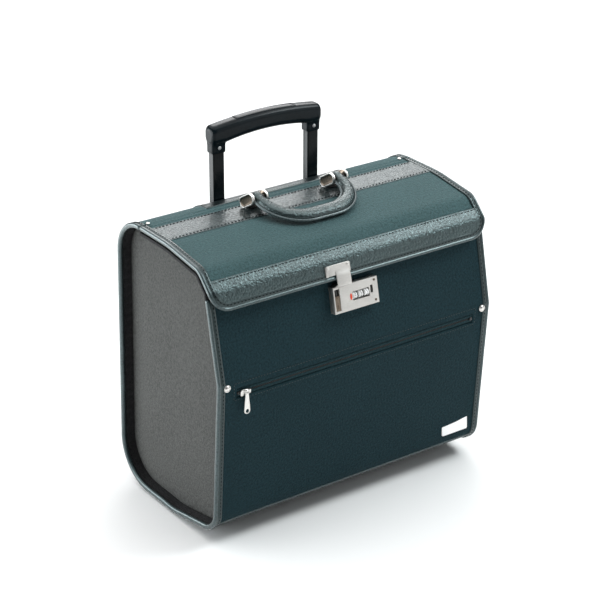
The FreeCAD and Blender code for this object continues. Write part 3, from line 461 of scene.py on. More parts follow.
def drawn(path, step=4.0):
    """Points along a path of rounded corners, about step apart, as (y, z, normal y, normal z, length)."""
    pts = []
    n = len(path)
    stops = []
    for i, (u, v, r) in enumerate(path):
        if r <= 0 or i in (0, n - 1):
            stops.append([(u, v)])
            continue
        a, b = unit(path[i - 1], path[i]), unit(path[i], path[i + 1])
        turn = math.acos(max(-1, min(1, a[0] * b[0] + a[1] * b[1])))
        reach = r * math.tan(turn / 2)
        side = 1 if a[0] * b[1] - a[1] * b[0] > 0 else -1
        start = (u - a[0] * reach, v - a[1] * reach)
        centre = (start[0] - a[1] * r * side, start[1] + a[0] * r * side)
        count = max(3, int(math.degrees(turn) / 6) + 1, int(r * turn / step))
        arc = []
        for k in range(count + 1):
            t = side * turn * k / count
            dx, dy = start[0] - centre[0], start[1] - centre[1]
            arc.append(
                (
                    centre[0] + dx * math.cos(t) - dy * math.sin(t),
                    centre[1] + dx * math.sin(t) + dy * math.cos(t)
                )
            )
        stops.append(arc)
    for i, arc in enumerate(stops):
        pts += arc
        if i < n - 1:
            a, b = arc[-1], stops[i + 1][0]
            d = math.hypot(b[0] - a[0], b[1] - a[1])
            count = int(d / step)
            pts += [
                (a[0] + (b[0] - a[0]) * k / count, a[1] + (b[1] - a[1]) * k / count)
                for k in range(1, count)
            ]
    clean = [pts[0]]
    for p in pts[1:]:
        if math.hypot(p[0] - clean[-1][0], p[1] - clean[-1][1]) > 1e-4:
            clean.append(p)
    out, length = [], 0.0
    for i, p in enumerate(clean):
        a, b = clean[max(0, i - 1)], clean[min(len(clean) - 1, i + 1)]
        t = unit(a, b)
        if i:
            length += math.hypot(p[0] - clean[i - 1][0], p[1] - clean[i - 1][1])
        out.append((p[0], p[1], -t[1], t[0], length))
    return out


HALF, EDGE, BOARD = 225.0, 6.0, 4.0
SLANT = 0.2159
FOLD = (-127.0, 248.0, 10.0)
FRONT_BOTTOM = (-112.0, 25.0, 34.0)
FLOOR_BREAK = (-8.0, 6.0, 120.0)
BACK_BOTTOM = (128.0, 6.0, 60.0)
BACK_TOP = (115.7, 405.0, 54.0)
FRONT_SLOPE = (FOLD[0] - FRONT_BOTTOM[0]) / (FOLD[1] - FRONT_BOTTOM[1])
HINGE_Y, TOP_Z = 58.0, 405.0
FRONT_TOP_Z = 361.0


def front_at(z):
    return (FOLD[0] + (z - FOLD[1]) * FRONT_SLOPE, z)


def upper_at(z):
    return (FOLD[0] + (z - FOLD[1]) * SLANT, z)


WRAP = [
    (
        *upper_at(FRONT_TOP_Z), 0
    ), FOLD, FRONT_BOTTOM, FLOOR_BREAK, BACK_BOTTOM, BACK_TOP, (HINGE_Y + 0.5, TOP_Z, 0),
]
LID = [
    (
        HINGE_Y - 0.5, TOP_Z, 0
    ), (-8.0, TOP_Z, 200.0), (-84.0, 395.0, 22.0), (-110.0, 369.0, 16.0), (-115.6, 349.0, 0),
]
FRONT_LEAN = math.atan(FRONT_SLOPE)
UPPER_LEAN = math.atan(SLANT)
FLAP_LEAN = math.atan((-110.0 + 115.6) / (369.0 - 349.0))


class Course:
    """A path in the side view, read by its length; off is measured out of the case."""

    def __init__(self, path, step=3.0):
        p = np.array(drawn(path, step))
        self.y, self.z, self.s = p[:, 0], p[:, 1], p[:, 4]
        self.ny, self.nz = -p[:, 2], -p[:, 3]
        self.length = self.s[-1]

    def at(self, s, off=0.0):
        y, z = np.interp(s, self.s, self.y), np.interp(s, self.s, self.z)
        ny, nz = np.interp(s, self.s, self.ny), np.interp(s, self.s, self.nz)
        k = math.hypot(ny, nz)
        return y + ny / k * off, z + nz / k * off

    def point(self, x, s, off=0.0):
        y, z = self.at(s, off)
        return Vector((x, y, z)) * MM

    def normal(self, s):
        n = Vector((0, np.interp(s, self.s, self.ny), np.interp(s, self.s, self.nz)))
        return n.normalized()

    def along(self, s):
        n = self.normal(s)
        return Vector((0, n.z, -n.y))

    def find(self, z, front=True):
        """Length at which the path passes height z, on the front or on the back."""
        half = len(self.s) // 2
        rng = range(len(self.s) - 1) if front else range(len(self.s) - 2, -1, -1)
        for i in rng:
            a, b = self.z[i], self.z[i + 1]
            if (a - z) * (b - z) <= 0 and a != b:
                return self.s[i] + (z - a) / (b - a) * (self.s[i + 1] - self.s[i])
        return half

    def find_y(self, y):
        for i in range(len(self.s) - 1):
            a, b = self.y[i], self.y[i + 1]
            if (a - y) * (b - y) <= 0 and a != b:
                return self.s[i] + (y - a) / (b - a) * (self.s[i + 1] - self.s[i])
        return 0.0


wrap = Course(WRAP)
lid = Course(LID)


def soft(x, y, z, size, height):
    """A gentle fixed unevenness of cloth over a board."""
    return height * noise.noise(Vector((x, y, z)) / size)


def spaced(low, high, step, fine=()):
    """Grid lines from low to high about step apart, with extra ones near the ends and at fine."""
    count = max(2, int((high - low) / step))
    base = set(np.linspace(low, high, count + 1).round(4))
    for e in (low, high):
        for d in (0.4, 1.0, 2.0, 3.5):
            for q in (e - d, e + d):
                if low < q < high:
                    base.add(round(q, 4))
    extra = sorted(round(v, 4) for v in fine if low <= v <= high)
    keep = [b for b in base if all(abs(b - e) > 0.35 for e in extra)]
    return sorted(set(keep) | set(extra))


def shell(build, course, xs, ss, outer, inner, hole=None, widths=None, mats=(0, 0)):
    """A closed panel over a course: outer(x, s) lifts its face in mm and inner is the height of its back.

    hole(x, s) leaves cells out, widths(s) scales xs and mats are the materials of face and back.
    """
    rows, cols = len(ss), len(xs)
    width = widths or (lambda s: 1.0)
    top, low, uv = [], [], []
    for s in ss:
        for x in xs:
            xx = x * width(s)
            top.append(course.point(xx, s, outer(xx, s)))
            low.append(course.point(xx, s, inner))
            uv.append((xx * MM, s * MM))
    kept = np.ones((rows - 1, cols - 1), bool)
    if hole:
        for i in range(rows - 1):
            for j in range(cols - 1):
                kept[i, j] = not hole((xs[j] + xs[j + 1]) / 2, (ss[i] + ss[i + 1]) / 2)
    n = rows * cols
    outer_faces, inner_faces, rim = [], [], []

    def has(i, j):
        return 0 <= i < rows - 1 and 0 <= j < cols - 1 and kept[i, j]

    for i in range(rows - 1):
        for j in range(cols - 1):
            if not kept[i, j]:
                continue
            a, b, c, d = i * cols + j, i * cols + j + 1, (i + 1) * cols + j + 1, (i + 1) * cols + j
            outer_faces.append((a, b, c, d))
            inner_faces.append((a + n, d + n, c + n, b + n))
            for near, e, f in (
                ((i - 1, j), a, b), ((i, j + 1), b, c), ((i + 1, j), c, d), ((i, j - 1), d, a)
            ):
                if not has(*near):
                    rim.append((e, e + n, f + n, f))
    build.add(top + low, outer_faces + rim, uv + uv, mats[0])
    build.f += [tuple(v + len(build.v) - 2 * n for v in face) for face in inner_faces]
    build.mat += [mats[1]] * len(inner_faces)


def dropped(build):
    """Removes vertices no face uses."""
    used = sorted({i for f in build.f for i in f})
    new = {old: k for k, old in enumerate(used)}
    build.v = [build.v[i] for i in used]
    build.uv = [build.uv[i] for i in used]
    build.f = [tuple(new[i] for i in f) for f in build.f]
    return build


def edge_fall(t, width, depth):
    """Rounds a panel's edge: 0 inside, falling by depth over the last width at distance t from the edge."""
    if t >= width:
        return 0.0
    k = 1 - t / width
    return -depth * (1 - math.sqrt(max(0.0, 1 - k * k)))


# length, pitch, radius and sink of a row of stitches, in mm
RIM_STITCH = (3.4, 5.6, 0.6, 0.1)
LID_STITCH = (3.4, 5.4, 0.62, 0.1)
HANDLE_STITCH = (2.4, 3.4, 0.3, 0.0)
PATCH_STITCH = (2.5, 3.9, 0.3, 0.12)


def stitch_row(build, points, normals, length=2.7, pitch=3.9, radius=0.32, sink=0.12):
    """Thread along a polyline in mm: one small capsule per stitch, bowed into the surface at its ends."""
    pts = [Vector(p) for p in points]
    total, marks = 0.0, [0.0]
    for a, b in zip(pts, pts[1:]):
        total += (b - a).length
        marks.append(total)
    marks = np.array(marks)
    P = np.array([list(p) for p in pts])
    N = np.array([list(n) for n in normals])
    count = int(total / pitch)
    for i in range(count):
        mid = (i + 0.5) * total / count
        rings = []
        for u, lift, r in ((-0.5, -1.2, 0.45), (-0.3, 0.4, 1.0), (0.3, 0.4, 1.0), (0.5, -1.2, 0.45)):
            s = mid + u * length
            c = Vector([np.interp(s, marks, P[:, k]) for k in range(3)])
            n = Vector([np.interp(s, marks, N[:, k]) for k in range(3)]).normalized()
            d = Vector(
                [np.interp(s + 0.4, marks, P[:, k]) - np.interp(s - 0.4, marks, P[:, k]) for k in range(3)]
            )
            d = d.normalized() if d.length > 1e-6 else Vector((1, 0, 0))
            side = n.cross(d).normalized()
            c = c + n * (lift * radius - sink)
            rings.append([(c + (side * math.cos(t) + n * math.sin(t) * 0.8) * radius * r) * MM
                          for t in (0.3, 1.35, 2.4, 3.6, 5.2)])
        build.add(*tube_grid(rings))


def sweep(build, frames, section, roll=None):
    """Sweeps a closed section of (a, b) in mm along frames of (point, a direction, b direction, length).

    Sides of the section from roll[0] up to roll[1] take the second material.
    """
    rings, uv = [], []
    for point, da, db, length in frames:
        ring = [(Vector(point) + da * a + db * b) * MM for a, b in section]
        rings.append(ring)
        uv += [(k / len(section) * 0.01, length * MM) for k in range(len(section))]
    verts, faces = tube_grid(rings)
    start = len(build.mat)
    build.add(verts, faces, uv)
    if roll:
        n = len(section)
        for i in range((len(frames) - 1) * n):
            if roll[0] <= i % n < roll[1]:
                build.mat[start + i] = 1


def cut(obj, *cutters):
    """Takes closed cutter meshes out of a piece."""
    for c in cutters:
        mod = obj.modifiers.new("cut", "BOOLEAN")
        mod.operation = "DIFFERENCE"
        mod.solver = "EXACT"
        mod.object = c
    bpy.context.view_layer.update()
    mesh = bpy.data.meshes.new_from_object(obj.evaluated_get(bpy.context.evaluated_depsgraph_get()))
    obj.modifiers.clear()
    obj.data = mesh
    for c in cutters:
        bpy.data.objects.remove(c)
    return obj


def loose(verts, faces, name="tool"):
    mesh = bpy.data.meshes.new(name)
    mesh.from_pydata([tuple(v) for v in verts], [], [tuple(f) for f in faces])
    obj = bpy.data.objects.new(name, mesh)
    bpy.context.scene.collection.objects.link(obj)
    return fix_normals(obj)


def fused(name, parts, voxel, rounds, material, body, stands):
    """One moulded piece out of overlapping closed parts: voxel union, then softened."""
    verts, faces = [], []
    for v, f in parts:
        base = len(verts)
        verts += list(v)
        faces += [tuple(i + base for i in face) for face in f]
    obj = loose(verts, faces, name)
    mod = obj.modifiers.new("union", "REMESH")
    mod.mode = "VOXEL"
    mod.voxel_size = voxel * MM
    if rounds:
        mod = obj.modifiers.new("soften", "SMOOTH")
        mod.factor = 0.5
        mod.iterations = rounds
    bpy.context.view_layer.update()
    mesh = bpy.data.meshes.new_from_object(obj.evaluated_get(bpy.context.evaluated_depsgraph_get()))
    obj.modifiers.clear()
    obj.data = mesh
    mesh.polygons.foreach_set("use_smooth", [True] * len(mesh.polygons))
    mesh.materials.clear()
    mesh.materials.append(material)
    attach(obj, body)
    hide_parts(*stands)
    return obj


# ---------------------------------------------------------------- cloth-covered boards
BODY_HALF = HALF - EDGE
S_TOP = 0.0
S_BASE = wrap.find(35.0)
S_BACK_LOW = wrap.find(78.0, False)
S_BACK_HIGH = wrap.find(330.0, False)
S_END = wrap.length
ZIP_Z, COIL_HALF, SLIDER_X = 231.0, 190, -184.0
ZIP_LOW, ZIP_HIGH, ZIP_HALF = 224.4, 237.6, 196.0
S_ZIP_HIGH, S_ZIP_LOW = wrap.find(ZIP_HIGH), wrap.find(ZIP_LOW)


def front_cloth():
    """Front wrap cloth with the pocket's slot; the slot's edges are turned and slightly raised."""
    b = Build()
    xs = spaced(
        -BODY_HALF, BODY_HALF, 7.0, [v * k for k in (-1, 1) for v in (196, 196.7, 197.6, 199, 201, 204)]
    )
    fine = [S_ZIP_HIGH - d for d in (0, 0.6, 1.4, 2.6, 4.2, 6.5, 8.4, 9.4)]
    fine += [S_ZIP_LOW + d for d in (0, 0.6, 1.4, 2.6, 4.2, 6.5)]
    ss = spaced(S_TOP, S_BASE, 6.0, fine)

    def outer(x, s):
        dx = max(0.0, abs(x) - ZIP_HALF)
        ds = max(0.0, S_ZIP_HIGH - s, s - S_ZIP_LOW)
        d = math.hypot(dx, ds)
        lip = 0.85 * math.exp(-((d - 1.4) / 2.3) ** 2) - (0.7 * (1 - d / 1.4) ** 2 if d < 1.4 else 0)
        groove = -0.35 * math.exp(-((S_ZIP_HIGH - s - 8.4) / 0.9) ** 2) if abs(x) < 201 else 0
        low = s > S_ZIP_LOW
        u = (s - S_ZIP_LOW) / (S_BASE - S_ZIP_LOW) if low else s / S_ZIP_HIGH
        u = min(1.0, max(0.0, u))
        puff = (1.5 if low else 0.5) * math.sin(math.pi * u) ** 0.7 * (1 - (abs(x) / BODY_HALF) ** 6)
        ripple = soft(x, s, 3, 55, 0.35) + soft(x, s * 2.2, 8, 24, 0.12)
        return 0.1 + lip + groove + puff + ripple * min(1.0, d / 12)

    def in_slot(x, s):
        return abs(x) < ZIP_HALF and S_ZIP_HIGH < s < S_ZIP_LOW

    shell(b, wrap, xs, ss, outer, -BOARD, in_slot, mats=(0, 1))
    return dropped(b).make(
        "front_cloth", [CLOTH_FRONT_SHADED, LINING], "case", "case_fabric",
        ["front_panel", "upper_front_panel", "pocket_panel", "pocket_top_panel"], angle=50,
    )


front_cloth()


def board_cloth(name, s0, s1, material, stands, puff, wave=0.3, slot="case_fabric"):
    b = Build()
    xs = spaced(-BODY_HALF, BODY_HALF, 9.0)
    ss = spaced(s0, s1, 6.0)

    def outer(x, s):
        u = (s - s0) / (s1 - s0)
        edge = min(s - s0, s1 - s)
        swell = puff * math.sin(math.pi * u) ** 0.6 * (1 - (abs(x) / BODY_HALF) ** 6)
        return 0.1 + swell + edge_fall(edge, 1.6, 1.0) + soft(x, s, 20, 60, wave) * min(1, edge / 10)

    shell(b, wrap, xs, ss, outer, -BOARD, mats=(0, 1))
    return b.make(name, [material, LINING], "case", slot, stands, angle=50)


board_cloth("back_cloth", S_BACK_LOW, S_BACK_HIGH, CLOTH_BACK, ["rear_panel"], 0.9)
top_cloth = board_cloth("top_back_cloth", S_BACK_HIGH, S_END, CLOTH_TOP_LIT, ["top_rear_panel"], 0.3, 0.2)
base_skin = board_cloth("base_leather", S_BASE, S_BACK_LOW, BAND, ["bottom_panel"], 0.3, 0.2, "leather")


def box_tool(low, high):
    """A closed box between two corners in mm, for cutting."""
    (x0, y0, z0), (x1, y1, z1) = low, high
    v = [Vector((x, y, z)) * MM for x in (x0, x1) for y in (y0, y1) for z in (z0, z1)]
    return loose(v, BOX_FACES)


def rounded_ring(half_x, half_y, r, count=6):
    ring = []
    for cx, cy, start in ((1, 1, 0), (-1, 1, 90), (-1, -1, 180), (1, -1, 270)):
        for k in range(count + 1):
            t = math.radians(start + 90 * k / count)
            ring.append((cx * (half_x - r) + r * math.cos(t), cy * (half_y - r) + r * math.sin(t)))
    return ring


def prism_tool(ring, at, z0, z1):
    rings = [[Vector((at[0] + u, at[1] + v, z)) * MM for u, v in ring] for z in (z0, z1)]
    return loose(*tube_grid(rings))


TUBE_X, TUBE_Y = 78.0, 97.0
cut(top_cloth, *[prism_tool(rounded_ring(12.2, 9.4, 4), (k * TUBE_X, TUBE_Y), 340, 420) for k in (-1, 1)])
cut(
    base_skin,
    *[box_tool((min(k * 160, k * 200), 71, -10), (max(k * 160, k * 200), 140, 67)) for k in (-1, 1)]
)

# welt cord between the front cloth and the base, and one across the back, in the lighter edge roll leather:
# painted highlight along the cords
for tag, s, wide in (("front", S_BASE, BODY_HALF - 4.5), ("back", S_BACK_LOW, BODY_HALF - 4.5)):
    b = Build()
    y, z = wrap.at(s, 0.1)
    ring = [(1.7 * math.cos(t), 1.7 * math.sin(t)) for t in turns(12)]
    frames = [((x, y, z), Vector((0, 1, 0)), Vector((0, 0, 1)), x) for x in np.linspace(-wide, wide, 40)]
    sweep(b, frames, ring)
    b.make(f"base_welt_{tag}", EDGE_ROLL_LIT, "case", "leather")


# ---------------------------------------------------------------- side panels
def side_cloth(side):
    """Recessed side panel: cloth over board, its face gently crowned, from nested outlines."""
    mouth = [(*lid.at(lid.length * k / 40, -11.0),) for k in range(2, 34)]
    inner = Course(shifted(WRAP, BOARD + 0.6), 8.0)
    outline = [(inner.y[i], inner.z[i]) for i in range(len(inner.s)) if inner.z[i] < 392]
    top_front = outline[0]
    rail = [(y, z) for y, z in mouth if y > top_front[0] + 4 and z < 395]
    loop = outline + [(y, min(z, 394.0)) for y, z in rail]
    pts = np.array(loop)
    order = [0]
    for i in range(1, len(pts)):
        if np.hypot(*(pts[i] - pts[order[-1]])) > 4:
            order.append(i)
    pts = pts[order]
    centre = np.array([0.0, 215.0])
    rings, n = [], len(pts)
    x_out, thick = HALF - 18.0, 4.0
    shares = [1.0, 1.0, 0.995, 0.985, 0.96, 0.9, 0.8, 0.68, 0.54, 0.4, 0.26, 0.12]
    lifts = [-thick, -1.2, -0.4, 0.0, 0.5, 1.2, 2.0, 2.7, 3.2, 3.5, 3.7, 3.8]
    for share, lift in zip(shares, lifts):
        ring = []
        for p in pts:
            q = centre + (p - centre) * share
            bump = soft(q[0], q[1], 5, 50, 0.4) if share < 0.97 else 0
            ring.append(Vector((side * (x_out + lift + bump), q[0], q[1])) * MM)
        rings.append(ring)
    verts, faces = tube_grid(rings)
    name = "right" if side > 0 else "left"
    b = Build()
    b.add(verts, faces)
    return b.make(f"side_cloth_{name}", CLOTH_SIDE_LIT, "case", "side_fabric", [f"side_panel_{name}"], angle=60)


for side in (-1, 1):
    side_cloth(side)


# ---------------------------------------------------------------- leather bindings of the wrap
RIM_SECTION = [
    (-11.0, -0.3), (-11.0, 0.9), (-10.3, 1.35), (-8.5, 1.6), (-6.6, 1.5), (-5.6, 1.0), (-5.0, 0.7),
    (-4.5, 1.1),
    (-3.7, 1.75), (-2.5, 2.0), (-1.3, 1.75), (-0.45, 1.0), (-0.05, -0.2), (0.0, -1.6), (-0.2, -3.2),
    (-0.9, -4.6),
    (-2.0, -5.3), (-3.6, -5.5), (-5.2, -5.2), (-6.0, -4.2), (-6.0, -0.6), (-8.0, -0.5),
]


def rim_binding(side):
    name = "right" if side > 0 else "left"
    b = Build()
    frames = []
    for s in wrap.s:
        y, z = wrap.at(s)
        wobble = soft(side * 9, s, 0, 30, 0.12)
        frames.append(((side * HALF, y, z), Vector((side, 0, 0)), wrap.normal(s) * (1 + wobble), s))
    # the rolled outer faces of the section take the lighter edge roll leather: painted highlight
    sweep(b, frames, RIM_SECTION, roll=(7, 17))
    b.make(f"rim_leather_{name}", [BINDING, EDGE_ROLL_LIT], "case", "leather", [f"rim_binding_{name}"])
    t = Build()
    pts, normals = [], []
    for s in np.arange(4, wrap.length - 3, 2.5):
        y, z = wrap.at(s, 1.5)
        pts.append((side * (HALF - 7.9), y, z))
        normals.append(wrap.normal(s))
    stitch_row(t, pts, normals, *RIM_STITCH)
    t.make(f"rim_stitches_{name}", THREAD, "case", "leather")


for side in (-1, 1):
    rim_binding(side)


# ---------------------------------------------------------------- lid
LID_CORNER = 25.0
S_LID = lid.length


def lid_half(s, base):
    """Half width of the lid at length s: its front corners are rounded."""
    t = s - (S_LID + 2.0 - LID_CORNER)
    if t <= 0:
        return base
    r = LID_CORNER + (base - 219.0)
    t = min(t, r)
    return base - (r - math.sqrt(max(0.0, r * r - t * t)))


S_BAND = lid.find_y(-96.7)
S_BAND_BACK, S_BAND_FRONT = lid.find_y(45.0), lid.find_y(-2.0)


def lid_cloth():
    b = Build()
    xs = sorted(set([x for x in np.linspace(-1, 1, 64).round(4)] + [-0.985, 0.985, -0.97, 0.97]))
    ss = spaced(0, S_LID - 0.6, 5.0)

    def outer(x, s):
        u = min(1.0, max(0.0, (s - S_BAND_FRONT) / (S_BAND - S_BAND_FRONT)))
        swell = 0.9 * math.sin(math.pi * u) * (1 - (abs(x) / 219) ** 4)
        return 0.05 + swell + soft(x, s, 40, 70, 0.45) * (1 if 0.02 < u < 0.98 else 0.3)

    shell(b, lid, xs, ss, outer, -5.0, None, lambda s: lid_half(s, 218.0), (0, 1))
    return b.make("lid_cloth", [CLOTH_TOP_LIT, LINING], "lid", "case_fabric", ["lid_panel"], angle=50)


lid_cloth()


def leather_strip(name, s0, s1, base, material, stands, lift=1.25, puff=0.5, wave=0.12):
    """A leather band on the lid from s0 to s1, its edges thinned and turned down."""
    b = Build()
    xs = sorted(set(np.linspace(-1, 1, 90).round(4)))
    ss = spaced(s0, s1, 2.5)

    def outer(x, s):
        edge = min(s - s0, s1 - s)
        u = (s - s0) / (s1 - s0)
        seam = -0.35 * math.exp(-((edge - 3.4) / 0.8) ** 2)
        swell = puff * math.sin(math.pi * u) ** 0.5
        return lift + swell + seam + edge_fall(edge, 1.3, 0.8) + soft(x, s, 70, 26, wave) * min(1, edge / 6)

    shell(b, lid, xs, ss, outer, 0.35, None, lambda s: lid_half(s, base), (0, 0))
    return b.make(name, material, "lid", "leather", stands, angle=50)


leather_strip(
    "lid_front_leather", S_BAND, S_LID - 0.4, 214.5, GRAIN, ["lid_front_band"], puff=0.9, wave=0.35
)
leather_strip(
    "lid_centre_leather", S_BAND_BACK, S_BAND_FRONT, 214.5, BAND, ["centre_band"], lift=1.15, puff=0.35
)


def lid_rim_path():
    """The lid's edge as (x, s) points, from the hinge's left end round the front to its right end."""
    half, r = 222.6, LID_CORNER + 1.5
    end = S_LID + 1.6
    pts = [(-half, s) for s in np.arange(0.3, end - r, 2.5)]
    pts += [
        (-half + r - r * math.cos(t), end - r + r * math.sin(t))
        for t in np.linspace(0, math.pi / 2, 14)
    ]
    pts += [(x, end) for x in np.arange(-half + r + 5, half - r, 5.0)]
    pts += [
        (half - r + r * math.sin(t), end - r + r * math.cos(t))
        for t in np.linspace(0, math.pi / 2, 14)
    ]
    pts += [(half, s) for s in np.arange(end - r - 2.5, 0.3, -2.5)]
    return pts


def lid_frames(path, off=0.0, inset=0.0):
    """Frames along an (x, s) path: a points out of the lid's edge, b out of its face."""
    frames, length = [], 0.0
    P = []
    for i, (x, s) in enumerate(path):
        a, c = path[max(0, i - 1)], path[min(len(path) - 1, i + 1)]
        d = Vector((c[0] - a[0], c[1] - a[1])).normalized()
        # outward in the surface: to the left of the direction, as the path runs left, front, right
        out = Vector((-d.y, d.x)) * -1
        if (x * out.x + (s - 60) * out.y) < 0:
            out = -out
        xs, ss = x - out.x * inset, s - out.y * inset
        over = max(0.0, ss - S_LID)
        y, z = lid.at(min(ss, S_LID), off)
        t = lid.along(S_LID - 0.5)
        t = t if t.z < 0 else -t
        y, z = y + t.y * over, z + t.z * over
        n = lid.normal(min(ss, S_LID))
        al = lid.along(min(ss, S_LID))
        al = al if Vector((0, lid.at(min(ss, S_LID))[0] - lid.at(max(0, min(ss, S_LID) - 1))[0],
                           lid.at(min(ss, S_LID))[1] - lid.at(
                               max(0, min(ss, S_LID) - 1)
                           )[1])).dot(al) > 0 else -al
        world_out = (Vector((1, 0, 0)) * out.x + al * out.y).normalized()
        if P:
            length += math.hypot(xs - P[-1][0], ss - P[-1][1])
        P.append((xs, ss))
        frames.append(((xs, y, z), world_out, n, length))
    return frames


LID_RIM_SECTION = [
    (-8.6, 0.4), (-8.6, 1.5), (-7.9, 1.95), (-6.2, 2.15), (-4.4, 2.0), (-3.3, 1.5), (-2.6, 1.1), (-2.1, 1.5),
    (-1.2, 2.25), (0.0, 2.5), (1.2, 2.2), (2.1, 1.3), (2.4, 0.0), (2.3, -1.8), (1.7, -3.6), (0.6, -4.9),
    (-0.9, -5.5), (-2.6, -5.6), (-4.4, -5.3), (-4.4, 0.2), (-6.5, 0.3),
]
b = Build()
# the lid rim's roll takes the lighter edge roll leather: painted highlight
sweep(b, lid_frames(lid_rim_path()), LID_RIM_SECTION, roll=(7, 14))
b.make("lid_rim_leather", [BINDING, EDGE_ROLL_LIT], "lid", "leather", ["lid_bindings", "lid_edge_piping"])

b = Build()
frames = lid_frames(lid_rim_path(), 2.0, 5.4)
stitch_row(b, [f[0] for f in frames], [f[2] for f in frames], *LID_STITCH)
for s in (S_BAND + 3.4, S_BAND_BACK + 3.2, S_BAND_FRONT - 3.2):
    y, z = lid.at(s, 1.35)
    n = lid.normal(s)
    stitch_row(b, [(x, y, z) for x in np.linspace(-211, 211, 90)], [n] * 90, *LID_STITCH)
b.make("lid_stitches", THREAD, "lid", "leather")


def hinge_cloth():
    """The cloth fold over the gap between the lid and the fixed top."""
    rows = [(y, TOP_Z + h) for y, h in (
        (51.0, 0.2), (52.0, 0.42), (54.0, 0.5), (55.5, 0.5), (56.5, 0.45), (57.2, 0.3), (57.7, 0.1),
        (58.2, 0.0),
        (58.7, 0.1), (59.3, 0.3), (60.0, 0.45), (61.0, 0.5), (63.0, 0.5), (64.6, 0.42), (65.6, 0.2))]
    xs = np.linspace(-213.5, 213.5, 60)
    b = Build()
    top = [Vector((x, y, z)) * MM for y, z in rows for x in xs]
    low = [Vector((x, y, z - 0.45)) * MM for y, z in rows for x in xs]
    n, cols = len(top), len(xs)
    faces = grid_faces(len(rows), cols)
    uv = [(x * MM, y * MM) for y, z in rows for x in xs]
    under = [tuple(i + n for i in f[::-1]) for f in faces]
    edge = [(i, i + 1) for i in range(cols - 1)] + [
        (i * cols + cols - 1, (i + 1) * cols + cols - 1)
        for i in range(len(rows) - 1)
    ]
    edge += [((len(rows) - 1) * cols + i + 1, (len(rows) - 1) * cols + i) for i in range(cols - 1)]
    edge += [((i + 1) * cols, i * cols) for i in range(len(rows) - 1)]
    rim = [(a, a + n, c + n, c) for a, c in edge]
    b.add(top + low, faces + under + rim, uv + uv)
    mesh = bpy.data.meshes.new("lid_hinge_cloth")
    mesh.from_pydata([tuple(v) for v in b.v], [], b.f)
    layer = mesh.uv_layers.new(name="weave")
    loops = np.zeros(len(mesh.loops), int)
    mesh.loops.foreach_get("vertex_index", loops)
    layer.data.foreach_set("uv", np.array(b.uv)[loops].astype(np.float32).ravel())
    mesh.polygons.foreach_set("use_smooth", [True] * len(mesh.polygons))
    mesh.materials.append(CLOTH_TOP_LIT)
    obj = bpy.data.objects.new("lid_hinge_cloth", mesh)
    bpy.context.scene.collection.objects.link(obj)
    fix_normals(obj)
    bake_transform(obj)


hinge_cloth()


# ---------------------------------------------------------------- front pocket: stitches and zip
def wall_row(build, s, x0, x1, off=0.55, **how):
    y, z = wrap.at(s, off)
    xs = np.linspace(x0, x1, 80)
    stitch_row(build, [(x, y, z) for x in xs], [wrap.normal(s)] * 80, **how)


def wall_column(build, x, s0, s1, off=0.55, **how):
    ss = np.linspace(s0, s1, 12)
    pts = [(x, *wrap.at(s, off)) for s in ss]
    stitch_row(build, pts, [wrap.normal(s) for s in ss], **how)


b = Build()
row = dict(length=2.6, pitch=4.4, radius=0.42, sink=0.08)
wall_row(b, S_ZIP_HIGH - 8.4, -200, 200, 0.45, **row)
wall_row(b, S_ZIP_LOW + 2.8, -200, 200, 1.0, **row)
for x in (-200.4, 200.4):
    wall_column(b, x, S_ZIP_HIGH - 8.0, S_ZIP_LOW + 2.4, 0.75, **row)
b.make("pocket_stitches", LIGHT_THREAD, "case", "case_fabric")


def zip_tape():
    """Two cloth welts that meet over the chain, each a soft roll with a dark gap beside it."""
    b = Build()
    mid = wrap.find(ZIP_Z)
    xs = np.linspace(-195.6, 195.6, 120)
    ring = [
        (5.75, -2.6), (5.7, -1.2), (5.2, -0.55), (4.2, -0.25), (3.0, -0.15), (1.9, -0.3), (1.25, -0.75),
        (1.15, -1.3), (1.9, -2.0), (3.6, -2.7)
    ]
    for k in (-1, 1):
        rings, uv = [], []
        for x in xs:
            lift = soft(x, k * 20, 9, 25, 0.25)
            rings.append([wrap.point(x, mid + k * d, o + lift) for d, o in ring])
            uv += [(x * MM, d * MM) for d, o in ring]
        v, f = tube_grid(rings)
        b.add(v, f, uv)
    b.make("zip_tape_cloth", WELT_CLOTH, "case", "zip_black", ["zip_tapes"])


def zip_coil():
    """Nylon coil: one rounded loop per tooth, left and right in turn."""
    b = Build()
    mid = wrap.find(ZIP_Z)
    n = wrap.normal(mid)
    al = wrap.along(mid)
    pitch = 1.5
    y, z = wrap.at(mid, -1.25)
    for i in range(int(2 * COIL_HALF / pitch)):
        x = -COIL_HALF + pitch * (i + 0.5)
        k = 1 if i % 2 else -1
        centre = Vector((x, y, z)) + al * (0.55 * k)
        rings = []
        for u, r in ((-1.5, 0.25), (-1.15, 0.55), (0.9, 0.62), (1.5, 0.3)):
            c = centre + al * (u * k)
            rings.append([(c + Vector((1, 0, 0)) * (math.cos(t) * r) + n * (math.sin(t) * r * 1.1)) * MM
                          for t in turns(6)])
        b.add(*tube_grid(rings))
    b.make("zip_coil", MOULDED, "case", "zip_black", ["zip_chain"])


zip_tape()
zip_coil()

# end stops: small clamped blocks across the coil
b = Build()
mid = wrap.find(ZIP_Z)
y0, z0 = wrap.at(mid, 0)
for x in (-193, 193):
    v, f = rounded_box((4.0, 2.2, 4.6), 0.6)
    b.add(at_frame(v, (x, y0 - 0.1, z0), FRONT_LEAN), f)
b.make("zip_stops", DARK, "case", "zip_black", ["zip_end_stops"])


